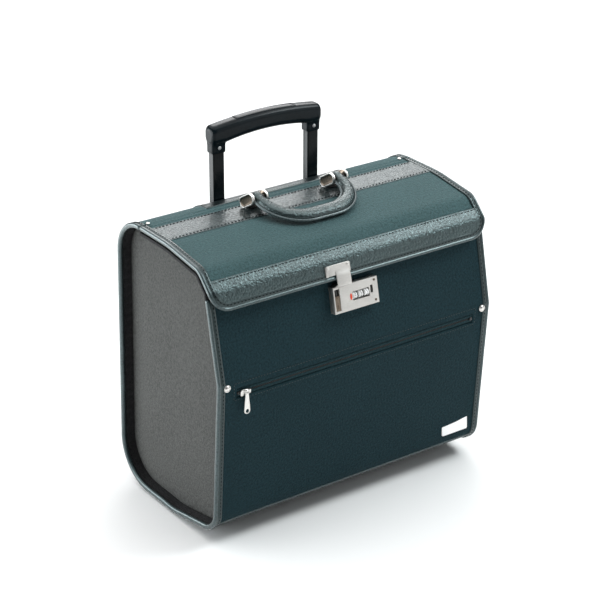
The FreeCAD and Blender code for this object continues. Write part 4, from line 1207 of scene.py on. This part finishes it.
# ---------------------------------------------------------------- zip slider and puller
def slider():
    at = (SLIDER_X, *wrap.at(mid, 0))
    b = Build()
    outline = [
        (-8, -2.2), (-7.2, -4.4), (-2, -4.6), (4.5, -3.6), (8, -2.6), (8, 2.6), (4.5, 3.6), (-2, 4.6),
        (-7.2, 4.4), (-8, 2.2)
    ]
    v, f = plate_solid(outline, 2.6, 0.8, 3)
    b.add(at_frame([(x, y - 1.3, z) for x, y, z in v], at, FRONT_LEAN), f)
    # bridge: a low arch that the puller's ring hangs from
    rings = []
    for t in np.linspace(0, math.pi, 13):
        c = Vector((4.2 * math.cos(t) * -1, -3.4 - 3.0 * math.sin(t), 2.9))
        d = Vector((math.sin(t), -math.cos(t), 0))
        side = Vector((0, 0, 1))
        rings.append([c + side * (1.5 * math.cos(a)) + Vector((d.y, -d.x, 0)) * (0.62 * math.sin(a))
                      for a in turns(10)])
    v, f = tube_grid(rings)
    b.add(at_frame(v, at, FRONT_LEAN), f)
    b.make("zip_slider_body", NICKEL, "zip_slider", "nickel", ["zip_slider"])


# a point on the axis the puller swings on, in mm
PULLER_PIN = Vector((SLIDER_X, -131.838053, 233.504207))


def puller():
    pin = PULLER_PIN
    b = Build()
    # ring round the bridge
    rings = []
    for t in np.linspace(0, 2 * math.pi, 21)[:-1]:
        c = Vector((3.4 * math.cos(t), -0.15, 2.9 * math.sin(t) - 1.2))
        out = Vector((math.cos(t), 0, math.sin(t)))
        rings.append([(pin + c + out * (0.62 * math.cos(a)) + Vector((0, 1, 0)) * (0.62 * math.sin(a))) * MM
                      for a in turns(8)])
    b.add(*tube_grid(rings, cap=False, closed=True))
    half = [(2.0, -2.9), (2.5, -5), (3.2, -12), (4.0, -20), (4.5, -26.0)]
    arc = [(4.6 * math.cos(t), -28.4 + 4.5 * math.sin(t)) for t in np.linspace(0, -math.pi, 17)]
    outline = half + arc + [(-x, z) for x, z in half[::-1]]
    v, f = plate_solid(outline[::-1], 1.5, 0.5, 3)
    b.add([(pin + Vector((x, y + 0.75, z))) * MM for x, y, z in v], f)
    obj = b.make("zip_puller_tab", NICKEL, "zip_puller", "nickel", ["zip_puller"])
    hole = [(2.5 * math.cos(t), 2.9 * math.sin(t)) for t in turns(20)]
    rings = [[(pin + Vector((x, y, z - 28.6))) * MM for x, z in hole] for y in (-3, 3)]
    cut(obj, loose(*tube_grid(rings)))
    sharp_by_angle(obj, 35)


slider()
puller()


# ---------------------------------------------------------------- carried CAD parts and small hardware
def dress(name, material, round_mm=0.5, segments=2):
    """Gives a CAD part its material and rounds its edges with a bevel."""
    obj = NODES[name]
    if not obj.data.materials:
        obj.data.materials.append(material)
    for k in range(len(obj.data.materials)):
        obj.data.materials[k] = material
    weld = obj.modifiers.new("weld", "WELD")
    weld.merge_threshold = 0.00001
    if round_mm:
        mod = obj.modifiers.new("bevel", "BEVEL")
        mod.width = round_mm * MM
        mod.segments = segments
        mod.limit_method = "ANGLE"
        mod.angle_limit = math.radians(35)
        mod.harden_normals = True
    obj.data.polygons.foreach_set("use_smooth", [True] * len(obj.data.polygons))
    return obj


# lock_slide takes the dark brown nickel: painted shade in its recess
PLAIN = [
    ("lock_body", NICKEL_PLATE, 0.8), ("lock_slide", NICKEL_PAINTED_DARK, 0.4), ("lock_backplate", DARK, 0.3),
    ("dial_axle", DARK, 0), ("handle_lugs", DARK, 1.2), ("handle_pins", STEEL, 0.3),
    (
        "trolley_outer_tubes", STEEL, 0.3
    ), ("trolley_middle_tubes", TUBE, 0.3), ("trolley_upper_tubes", TUBE, 0.3),
    ("trolley_base", MOULDED, 1.0), ("tube_collars", MOULDED, 0.9), ("grip_button", GLOSSY, 1.5),
    ("release_linkage", STEEL, 0.4), ("wheel_housings", MOULDED, 1.2), ("wheel_axles", STEEL, 0.4),
    ("rear_lining", LINING, 0.3), ("file_divider", LINING, 0.5), ("mouth_rails", LINING, 0.8), (
        "lid_hinge_tape", LINING, 0.1
    ),
]
for name, material, r in PLAIN:
    dress(name, material, r, 4 if name == "grip_button" else 3)

DOME = [
    (1.0, 0.0), (1.0, 0.25), (0.97, 0.42), (0.88, 0.62), (0.72, 0.8), (0.5, 0.93), (0.25, 0.99), (0.02, 1.0)
]


def domed(build, at, axis, radius, high, segments=24):
    build.add(*lathe([(r * radius, h * high) for r, h in DOME], at, axis, segments))


def outward(lean):
    return Vector((0, -math.cos(lean), math.sin(lean)))


# corner rivets at the fold of the front and at the back of the mouth
b = Build()
fy, fz = front_at(243.0)
# known fault: the sign of the lean is wrong here, so these rivets tilt off the wall
fn = outward(-FRONT_LEAN)
for side in (-1, 1):
    base = Vector((side * 211.5, fy, fz)) + fn
    b.add(
        *lathe(
            [
                (5.0, 0), (5.1, 0.5), (4.9, 0.9), (4.3, 1.1), (4.1, 1.0), (3.9, 1.15), (3.4, 1.9),
                (2.2, 2.4), (0.9, 2.6), (0.02, 2.6)
            ],
            base, fn, 28
        )
    )
    domed(b, (side * 209, 62, 405.9), (0, 0, 1), 3.0, 1.5)
b.make("corner_rivets", NICKEL, "case", "nickel", ["rim_rivets"], angle=40)

b = Build()
for side in (-1, 1):
    tilt = Vector((0, math.sin(math.radians(25)), math.cos(math.radians(25))))
    c = Vector((side * 107, 86.8, 401.4)) + tilt * 0.2
    b.add(
        *lathe(
            [
                (3.7, 0), (3.7, 0.3), (3.3, 0.55), (3.0, 0.5), (2.7, 0.9), (1.8, 1.4), (0.6, 1.6),
                (0.02, 1.6)
            ],
            c, tilt, 24
        )
    )
b.make("patch_rivets", NICKEL, "case", "nickel", ["trolley_rivets"], angle=40)


def screws(name, places, axis, radius, high, material, body, slot, stands, slot_turn=0.0):
    """Domed screw heads with a driver slot."""
    b = Build()
    tools = []
    axis = Vector(axis).normalized()
    side = Vector((1, 0, 0))
    other = axis.cross(side)
    d = side * math.cos(slot_turn) + other * math.sin(slot_turn)
    w = axis.cross(d)
    for p in places:
        b.add(
            *lathe(
                [
                    (radius, -0.2), (radius, high * 0.3), (radius * 0.9, high * 0.62),
                    (radius * 0.65, high * 0.88), (radius * 0.3, high), (0.02, high)
                ],
                p, axis, 24
            )
        )
        c = Vector(p) + axis * high
        v = [(c + d * (a * radius * 1.2) + w * (k * radius * 0.14) + axis * (h * high * 0.5)) * MM
             for a in (-1, 1) for k in (-1, 1) for h in (-1, 1)]
        tools.append(loose(v, BOX_FACES))
    obj = b.make(name, material, body, slot, stands)
    cut(obj, *tools)
    sharp_by_angle(obj, 35)
    return obj


def on_wall(origin_z, lean, at, wall):
    """World mm of a local point on the wall frame."""
    o = (0, *wall(origin_z))
    p = at_frame([at], o, lean)[0]
    return p / MM


def flap_at(z):
    return (-115.6 + (z - 349.0) * 0.28, z)


LOCK_Z, HASP_Z = 316.0, 352.0
screws("lock_screw_heads", [on_wall(LOCK_Z, UPPER_LEAN, (27, -10.9, z), upper_at) for z in (-13.5, 14)],
       outward(UPPER_LEAN), 1.8, 0.95, NICKEL_PAINTED_DARK, "case", "nickel", ["lock_screws"], 0.6)
screws(
    "grip_screw_heads", [(k * 78, 97 - 8.3, 475) for k in (-1, 1)], (0, -1, 0), 2.6, 1.1, STEEL,
    "trolley_upper", "steel", ["grip_screws"], 0.9
)
b = Build()
for x in (-44.5, -12.5):
    domed(b, on_wall(HASP_Z, FLAP_LEAN, (x, -2.8, 10.5), flap_at), outward(FLAP_LEAN), 2.0, 1.1)
b.make("hasp_rivet_heads", NICKEL, "lid", "nickel", ["hasp_rivets"], angle=50)

# hasp: plate with a rolled end, and the tongue that bends out over the lid's edge
b = Build()
flap_origin = (0, *flap_at(HASP_Z))
v, f = plate_solid([(x - 28.5, z + 7.0) for x, z in rounded_ring(19.5, 7.0, 2.4)], 1.7, 0.45, 3)
b.add(at_frame([(x, y - 1.1, z) for x, y, z in v], flap_origin, FLAP_LEAN), f)
rings = []
for z, front, thick in ((6.0, -2.75, 1.2), (4.0, -3.1, 1.5), (2.0, -3.7, 1.8), (0.0, -4.4, 1.9),
                        (-2.0, -4.75, 1.9), (-4.0, -4.8, 1.9),
                        (-14.6, -4.8, 1.9), (-15.6, -4.65, 1.6), (-16.0, -4.2, 0.8)):
    rings.append(
        [
            Vector((-22.5 + u, front + thick / 2 + w, z))
            for u, w in rounded_ring(11.4, thick / 2, thick * 0.45, 3)
        ]
    )
v, f = tube_grid(rings)
b.add(at_frame(v, flap_origin, FLAP_LEAN), f)
roll = [
    (2.0, 0.3), (2.0, 13.4), (1.85, 13.9), (1.3, 13.9), (1.1, 13.2), (1.1, 1.0), (1.3, 0.0), (1.85, 0.0)
]
v, f = lathe(roll, (0, 0, 0), (0, 0, 1), 20, cap=False)
n = 20
f += [(k, (k + 1) % n, 7 * n + (k + 1) % n, 7 * n + k) for k in range(n)]
b.add(at_frame([Vector(p) / MM + Vector((-47.6, -3.1, 0)) for p in v], flap_origin, FLAP_LEAN), f)
b.make("hasp_and_tongue", NICKEL_PLATE, "lid", "nickel", ["hasp_plate"], angle=40)

# blank name plate with rounded corners
b = Build()
fo = (181.0, *front_at(61.0))
v, f = plate_solid(rounded_ring(23, 10, 2.5), 1.2, 0.35, 3)
# known fault: the sign of the lean is wrong here, so the plate tilts off the wall
b.add(at_frame([(x, y - 0.4, z) for x, y, z in v], fo, -FRONT_LEAN), f)
b.make("blank_name_plate", BRIGHT, "case", "nickel", ["name_plate"], angle=40)


# ---------------------------------------------------------------- dials with digits
SEGMENTS = ["abcdef", "bc", "abged", "abgcd", "fgbc", "afgcd", "afgedc", "abc", "abcdefg", "abcdfg"]
PIN = Vector((0, -118.575, 317.351))


def digit_boxes(n):
    """Strokes of a seven-segment digit as (x centre, t centre, half x, half t), in half digit sizes."""
    where = {"a": (0, 1, 0.8, 0.16), "g": (0, 0, 0.7, 0.14), "d": (0, -1, 0.8, 0.16),
             "f": (-0.8, 0.5, 0.2, 0.55),
             "b": (0.8, 0.5, 0.2, 0.55), "e": (-0.8, -0.5, 0.2, 0.55), "c": (0.8, -0.5, 0.2, 0.55)}
    return [where[s] for s in SEGMENTS[n]]


for i, (cx, face) in enumerate(((-5.5, 4), (4.0, 7), (13.5, 1))):
    b = Build()
    rings = []
    for x, r in (
        (-3.1, 3.2), (-3.1, 4.5), (-2.95, 4.85), (-2.5, 5.1), (2.5, 5.1), (2.95, 4.85), (3.1, 4.5),
        (3.1, 3.2)
    ):
        ring = []
        for k in range(60):
            t = 2 * math.pi * k / 60
            notch = 0.28 if k % 6 == 3 else 0.06 if k % 6 in (2, 4) else 0
            rr = r - notch if r > 4.6 else r
            ring.append((PIN + Vector((cx + x, rr * math.cos(t), rr * math.sin(t)))) * MM)
        rings.append(ring)
    b.add(*tube_grid(rings))
    lean0 = math.pi - UPPER_LEAN
    for n in range(10):
        mid_t = lean0 + (n - face) * math.radians(36)
        for ux, ut, hx, ht in digit_boxes(n):
            v = []
            for dx in (-hx, hx):
                for dt in (-ht, ht):
                    for r in (4.7, 5.16):
                        t = mid_t - (ut + dt) * 1.15 / 5.1
                        v.append((PIN + Vector((cx + (ux + dx), r * math.cos(t), r * math.sin(t)))) * MM)
            b.add(v, BOX_FACES, mat=1)
    b.make(f"dial_wheel_{i + 1}", [WHITE, INK], f"dial_{i + 1}", "dial_white", [f"dial_{i + 1}"], angle=30)

# dark sheets at the floors of the lock's slide recess, of the slot right of the dials and behind the dials:
# painted shade in these recesses
b = Build()
for x0, x1, y, z0, z1 in ((-37.9, -29.9, -8.15, -14.8, 14.8), (19.7, 23.7, -9.6, -2.4, 7.9),
                          (-9.4, 17.4, -2.2, -6.0, 6.0)):
    v, f = rounded_box((x1 - x0, 0.25, z1 - z0), 0.08, 1)
    at = ((x0 + x1) / 2, y, (z0 + z1) / 2)
    b.add(at_frame([Vector(p) + Vector(at) for p in v], (0, *upper_at(LOCK_Z)), UPPER_LEAN), f)
b.make("lock_recess_shade_sheets", DARK, "case", "dark_metal")

# red index beside the dials: a small oval bead
b = Build()
c = on_wall(LOCK_Z, UPPER_LEAN, (-12.3, -11.0, 0), upper_at)
n = outward(UPPER_LEAN)
up = Vector((0, math.sin(UPPER_LEAN), math.cos(UPPER_LEAN)))
rings = []
for r, h in ((1.0, -0.1), (1.0, 0.3), (0.9, 0.55), (0.6, 0.75), (0.02, 0.8)):
    rings.append([(c + Vector((1, 0, 0)) * (1.6 * r * math.cos(t))
                   + up * (4.5 * r * math.sin(t)) + n * h) * MM
                  for t in turns(24)])
b.add(*tube_grid(rings))
b.make("lock_index_bead", RED, "case", "index_red", ["lock_index"], angle=60)


# ---------------------------------------------------------------- carry handle
HANDLE_PIVOT = Vector((0, 16.285, 425.243))
LINK_PIVOT = Vector((0, 33.0, 415.2))
TILT = math.radians(14.0)
PLANE_V = Vector((0, math.cos(TILT), math.sin(TILT)))
PLANE_N = Vector((0, -math.sin(TILT), math.cos(TILT)))


def arch_points(half, tail, reach, r, count):
    """Points round a D arch in the handle's plane, from the left end round the front to the right end."""
    pts = [(-half, tail), (-half, reach + r)]
    pts += [
        (-half + r - r * math.cos(t), reach + r - r * math.sin(t))
        for t in np.linspace(0, math.pi / 2, 24)[1:]
    ]
    pts += [(-x, v) for x, v in pts[::-1]]
    d = [0.0]
    for a, c in zip(pts, pts[1:]):
        d.append(d[-1] + math.hypot(c[0] - a[0], c[1] - a[1]))
    t = np.linspace(0, d[-1], count)
    return np.column_stack(
        [np.interp(t, d, [p[0] for p in pts]), np.interp(t, d, [p[1] for p in pts])]
    ), d[-1]


OVER = [(0.0, 1.0), (0.22, 0.985), (0.42, 0.93), (0.58, 0.82), (0.70, 0.66), (0.79, 0.46), (0.845, 0.24),
        (0.86, 0.04), (0.868, -0.10),
        (0.90, -0.06), (
            0.945, -0.05
        ), (0.985, -0.12), (1.0, -0.24), (0.985, -0.36), (0.945, -0.44), (0.89, -0.46),
        (0.80, -0.62), (0.62, -0.80), (0.35, -0.92)]
SECTION = OVER + [(0.0, -0.95)] + [(-u, h) for u, h in OVER[:0:-1]]


def handle():
    count = 120
    outer, total = arch_points(74.4, 7.5, -72.0, 58, count)
    inner, _ = arch_points(57.1, 7.5, -48.5, 40, count)
    b, stitches, cord = Build(), Build(), Build()
    rings, uv, rows, cords = [], [], {-1: [], 1: []}, {-1: [], 1: []}
    length = np.linspace(0, total, count)
    for i in range(count):
        o, q = Vector(outer[i]), Vector(inner[i])
        mid, across = (o + q) / 2, (o - q) / 2
        d = min(length[i], total - length[i])
        end = min(1.0, d / 6.0)
        round_off = math.sqrt(max(0.0, 1 - (1 - end) ** 2))
        high = 6.3 * (0.35 + 0.65 * round_off) + 0.25 * noise.noise(Vector((i * 0.07, 3, 1)))
        wide = 0.72 + 0.28 * round_off
        ring = []
        for k, (u, h) in enumerate(SECTION):
            p2 = mid + across * (u * wide)
            wrinkle = 0.10 * noise.noise(Vector((p2.x / 5.0, p2.y / 5.0, h * 2)))
            p = HANDLE_PIVOT + Vector((p2.x, 0, 0)) + PLANE_V * p2.y + PLANE_N * (h * high + wrinkle)
            ring.append(p * MM)
            uv.append((k * 0.002, length[i] * MM))
        rings.append(ring)
        if 2 < i < count - 3:
            for k in (-1, 1):
                p2 = mid + across * (k * 0.945 * wide)
                c = HANDLE_PIVOT + Vector((p2.x, 0, 0)) + PLANE_V * p2.y - PLANE_N * (0.25 * high)
                a2 = across.normalized()
                a3 = Vector((a2.x, 0, 0)) + PLANE_V * a2.y
                cords[k].append([(c + a3 * (2.0 * math.cos(t)) + PLANE_N * (2.0 * math.sin(t))) * MM
                                 for t in turns(10)])
        if 4 < i < count - 5:
            for k in (-1, 1):
                p2 = mid + across * (k * 0.862 * wide)
                rows[k].append(
                    HANDLE_PIVOT + Vector((p2.x, 0, 0)) + PLANE_V * p2.y + PLANE_N * (0.05 * high)
                )
    v, f = tube_grid(rings)
    b.add(v, f, uv)
    obj = b.make("handle_pad", HANDLE, "carry_handle", "handle_leather", ["handle_grip"])
    subsurf(obj, 1)
    for k in (-1, 1):
        cord.add(*tube_grid(cords[k]))
    # the edge cords take the lighter piping leather: painted highlight
    cord.make("handle_piping", PIPING_LIT, "carry_handle", "handle_leather")
    for k in (-1, 1):
        stitch_row(stitches, rows[k], [PLANE_N] * len(rows[k]), *HANDLE_STITCH)
    stitches.make("handle_stitches", THREAD, "carry_handle", "handle_leather")


handle()


def stadium(r, count=14):
    """An oval round the two pivots: points (y, z)."""
    a = Vector((LINK_PIVOT.y, LINK_PIVOT.z))
    c = Vector((HANDLE_PIVOT.y, HANDLE_PIVOT.z))
    d = (c - a).normalized()
    n = Vector((-d.y, d.x))
    ring = []
    for centre, start in ((c, -1), (a, 1)):
        for t in np.linspace(-math.pi / 2, math.pi / 2, count):
            k = 1 if centre is c else -1
            ring.append(centre + (d * math.cos(t) + n * math.sin(t)) * (r * k))
    return ring


b = Build()
for side in (-1, 1):
    for base, out in ((75.5, 1), (56.6, -1)):
        rings = []
        for r, h in ((7.9, 0.0), (8.4, 0.3), (8.5, 0.8), (8.5, 2.3), (8.3, 3.0), (7.8, 3.4), (7.1, 3.5),
                     (6.5, 3.3), (6.1, 2.9),
                     (5.6, 2.4), (4.4, 2.1), (2.5, 1.95), (0.6, 1.9)):
            rings.append([Vector((side * (base + out * h), p.x, p.y)) * MM for p in stadium(r)])
        b.add(*tube_grid(rings))
        n = len(rings[0])
        # the inner rings of the dish take the dark brown nickel: painted reflection
        b.mat[-(4 * n + 1):] = [1] * (4 * n + 1)
b.make("handle_side_plates", [NICKEL, NICKEL_PAINTED_DARK], "handle_links", "nickel", ["handle_cheeks"], angle=45)


# ---------------------------------------------------------------- trolley grip and leather patch
def bar_z(x):
    """Top of the grip's bar at x, an arch."""
    return 512.0 - 7.0 * (x / 90.0) ** 2


def grip():
    parts = []
    rings = []
    for x in list(np.linspace(-90, -84, 6)) + list(np.linspace(-80, 80, 41)) + list(np.linspace(84, 90, 6)):
        d = min(1.0, (90.0 - abs(x)) / 6.0)
        shrink = 5.0 * (1 - math.sqrt(max(0.0, 1 - (1 - d) ** 2)))
        top = bar_z(x) - shrink * 0.8
        under = 480.0 + 6.5 * (1 - min(1.0, abs(x) / 68.0) ** 2) + shrink * 0.5
        half_z, half_y = (top - under) / 2, 12.0 - shrink
        ring = rounded_ring(half_y, half_z, min(half_z, half_y, 8.5) - 0.3, 5)
        rings.append([Vector((x, TUBE_Y + u, (top + under) / 2 + w)) * MM for u, w in ring])
    parts.append(tube_grid(rings))
    for k in (-1, 1):
        rings = []
        for z, hx, hy in (
            (467, 10.3, 7.6), (467.6, 10.9, 8.2), (472, 11.0, 8.3), (478, 11.0, 8.4), (483, 11.2, 9.2),
            (488, 11.6, 10.4), (496, 11.6, 10.6)
        ):
            rings.append(
                [Vector((k * TUBE_X + u, TUBE_Y + w, z)) * MM for u, w in rounded_ring(hx, hy, 3.2)]
            )
        parts.append(tube_grid(rings))
    obj = fused("grip_body", parts, 0.9, 6, GLOSSY, "trolley_upper", ["trolley_grip"])
    tools = [prism_tool(rounded_ring(49.45, 6.95, 2.6), (0, TUBE_Y), 499.0, 520.0)]
    tools += [prism_tool(rounded_ring(9.05, 6.3, 3), (k * TUBE_X, TUBE_Y), 460.0, 483.0) for k in (-1, 1)]
    cut(obj, *tools)
    sharp_by_angle(obj, 42)
    return obj


grip()


def patch():
    """The leather patch that carries the trolley's collars, with a raised cord round it."""
    b = Build()
    s0, s1 = wrap.find(346.0, False), S_END - 2.3
    xs = spaced(-117.8, 117.8, 4.0)
    ss = spaced(s0, s1, 3.0)

    def outer(x, s):
        edge = min(117.8 - abs(x), s - s0, s1 - s)
        cord = 0.55 * math.exp(-((edge - 1.9) / 1.1) ** 2)
        stitch = -0.3 * math.exp(-((edge - 5.2) / 0.8) ** 2)
        return 1.35 + cord + stitch + edge_fall(edge, 1.2, 0.9) + soft(x, s, 33, 18, 0.16)

    shell(b, wrap, xs, ss, outer, 0.25)
    obj = b.make("trolley_leather", BINDING, "case", "leather", ["trolley_patch"], angle=50)
    cut(obj, *[prism_tool(rounded_ring(12.6, 9.8, 4), (k * TUBE_X, TUBE_Y), 340, 420) for k in (-1, 1)])
    sharp_by_angle(obj, 50)
    t = Build()
    inset = 5.2
    x1, a, c = 117.8 - inset, s0 + inset, s1 - inset
    for k in (-1, 1):
        line = np.arange(a, c, 2.5)
        stitch_row(
            t, [tuple(wrap.point(k * x1, s, 1.35) / MM) for s in line], [wrap.normal(s) for s in line],
            *PATCH_STITCH
        )
    for s in (a, c):
        line = np.linspace(-x1, x1, 60)
        stitch_row(
            t, [tuple(wrap.point(x, s, 1.35) / MM) for x in line], [wrap.normal(s)] * 60, *PATCH_STITCH
        )
    t.make("trolley_leather_stitches", THREAD, "case", "leather")


patch()


# ---------------------------------------------------------------- wheels and feet
def wheel(side):
    name = "right" if side > 0 else "left"
    at, axis = (side * 180.0, 107.9, 25.0), (side, 0, 0)
    b = Build()
    profile = [(16.0, -8.5), (17.5, -9.6), (21, -10), (23.2, -9.4), (24.5, -8.0), (24.9, -5.5),
               (24.3, -5.2), (24.3, -4.4), (24.95, -4.1),
               (25.0, -0.9), (24.3, -0.6), (24.3, 0.6), (25.0, 0.9), (24.95, 4.1), (24.3, 4.4), (24.3, 5.2),
               (24.9, 5.5), (24.5, 8.0),
               (23.2, 9.4), (21, 10), (17.5, 9.6), (16.0, 8.5)]
    b.add(*lathe(profile, at, axis, 64, cap=False))
    n = 64
    b.f += [(k, (k + 1) % n, 21 * n + (k + 1) % n, 21 * n + k) for k in range(n)]
    b.mat += [0] * n
    b.make(f"wheel_tread_{name}", TYRE, f"wheel_{name}", "tyre", [f"wheel_tyre_{name}"], angle=35)
    h = Build()
    hub = [(3.05, -9.9), (5.5, -9.9), (6.2, -9.3), (6.4, -6), (13.6, -5.4), (14.4, -7.8), (15.0, -8.7),
           (16.1, -8.9), (16.1, 8.9),
           (15.0, 8.7), (14.4, 7.8), (13.6, 5.4), (6.4, 6), (6.2, 9.3), (5.5, 9.9), (3.05, 9.9)]
    h.add(*lathe(hub, at, axis, 48, cap=False))
    n = 48
    h.f += [(k, (k + 1) % n, 15 * n + (k + 1) % n, 15 * n + k) for k in range(n)]
    h.mat += [0] * n
    for k in range(5):
        t = 2 * math.pi * k / 5
        d, w = Vector((0, math.cos(t), math.sin(t))), Vector((0, -math.sin(t), math.cos(t)))
        v, f = rounded_box((17.4, 9.0, 2.4), 0.5, 2)
        h.add([(Vector(at) + Vector((p.x, 0, 0)) + d * (10.2 + p.y) + w * p.z) * MM for p in v], f)
    h.make(
        f"wheel_spokes_{name}", MOULDED, f"wheel_{name}", "black_plastic", [f"wheel_hub_{name}"], angle=35
    )


for side in (-1, 1):
    wheel(side)

b = Build()
for side in (-1, 1):
    b.add(*lathe([(6.2, 0.0), (7.3, 0.4), (7.8, 1.4), (8.0, 3.0), (8.0, 5.0), (7.5, 5.5), (7.4, 6.0), (7.5, 6.5), (8.0, 7.0), (8.0, 17.0)],
                 (side * 186, -58, 0), (0, 0, 1), 32))
b.make("rubber_feet", MOULDED, "case", "black_plastic", ["front_feet"], angle=35)


# ---------------------------------------------------------------- stage
def stage():
    m = Mat("studio_floor", (0.92, 0.92, 0.915), 0.9)
    fine = m.noise(m.coords(), 30, 3)
    m.rough_from(fine, 0.86, 0.94)
    mesh = bpy.data.meshes.new("floor")
    size = 9.0
    mesh.from_pydata(
        [(-size, -size, 0), (size, -size, 0), (size, size, 0), (-size, size, 0)], [], [(0, 1, 2, 3)]
    )
    mesh.materials.append(m.m)
    floor = bpy.data.objects.new("floor", mesh)
    bpy.context.scene.collection.objects.link(floor)

    world = bpy.data.worlds.new("studio")
    bpy.context.scene.world = world
    world.use_nodes = True
    world.node_tree.nodes["Background"].inputs["Color"].default_value = (0.93, 0.97, 1, 1)
    world.node_tree.nodes["Background"].inputs["Strength"].default_value = 0.16

    def placed(name, data, at, target):
        obj = bpy.data.objects.new(name, data)
        obj.location = at
        obj.rotation_euler = (Vector(target) - Vector(at)).to_track_quat("-Z", "Y").to_euler()
        bpy.context.scene.collection.objects.link(obj)

    def softbox(name, at, target, size, radiance, tint=(1, 1, 1)):
        data = bpy.data.lights.new(name, "AREA")
        data.shape = "RECTANGLE"
        data.size, data.size_y = size
        data.energy = radiance * math.pi * size[0] * size[1]
        data.color = tint
        placed(name, data, at, target)

    sky = bpy.data.lights.new("overhead", "SUN")
    sky.energy = 2.8
    sky.angle = math.radians(90)
    placed("overhead", sky, (0.2, 0.6, 2.6), (0, 0, 0.2))
    softbox("back_right", (1.9, 2.7, 1.9), (0, 0, 0.4), (1.8, 1.2), 5)
    softbox("low_left", (-1.25, 0.85, 0.16), (0, 0, 0.3), (1.5, 1.2), 6.5, (0.93, 0.98, 1))
    softbox("above_right", (1.75, -0.85, 2.3), (0.1, 0, 0.35), (1.1, 0.9), 12, (0.9, 0.98, 1))
    softbox("front_right", (1.8, -2.2, 1.3), (0, 0, 0.3), (1.5, 1.8), 1.4)


stage()


def camera():
    data = bpy.data.cameras.new("camera")
    data.lens = 117.1
    data.sensor_width = 36.0
    obj = bpy.data.objects.new("camera", data)
    az, el, roll = math.radians(-35.346), math.radians(25.005), math.radians(0.208)
    right = Vector((math.cos(az), math.sin(az), 0))
    back = Vector((math.sin(az) * math.cos(el), -math.cos(az) * math.cos(el), math.sin(el)))
    up = back.cross(right)
    right2 = right * math.cos(roll) + up * math.sin(roll)
    up2 = up * math.cos(roll) - right * math.sin(roll)
    m = Matrix((right2, up2, back)).transposed().to_4x4()
    m.translation = Vector((-1.414, -1.983, 1.399))
    obj.matrix_world = m
    bpy.context.scene.collection.objects.link(obj)
    bpy.context.scene.camera = obj


camera()
bpy.context.scene.view_settings.view_transform = "Standard"
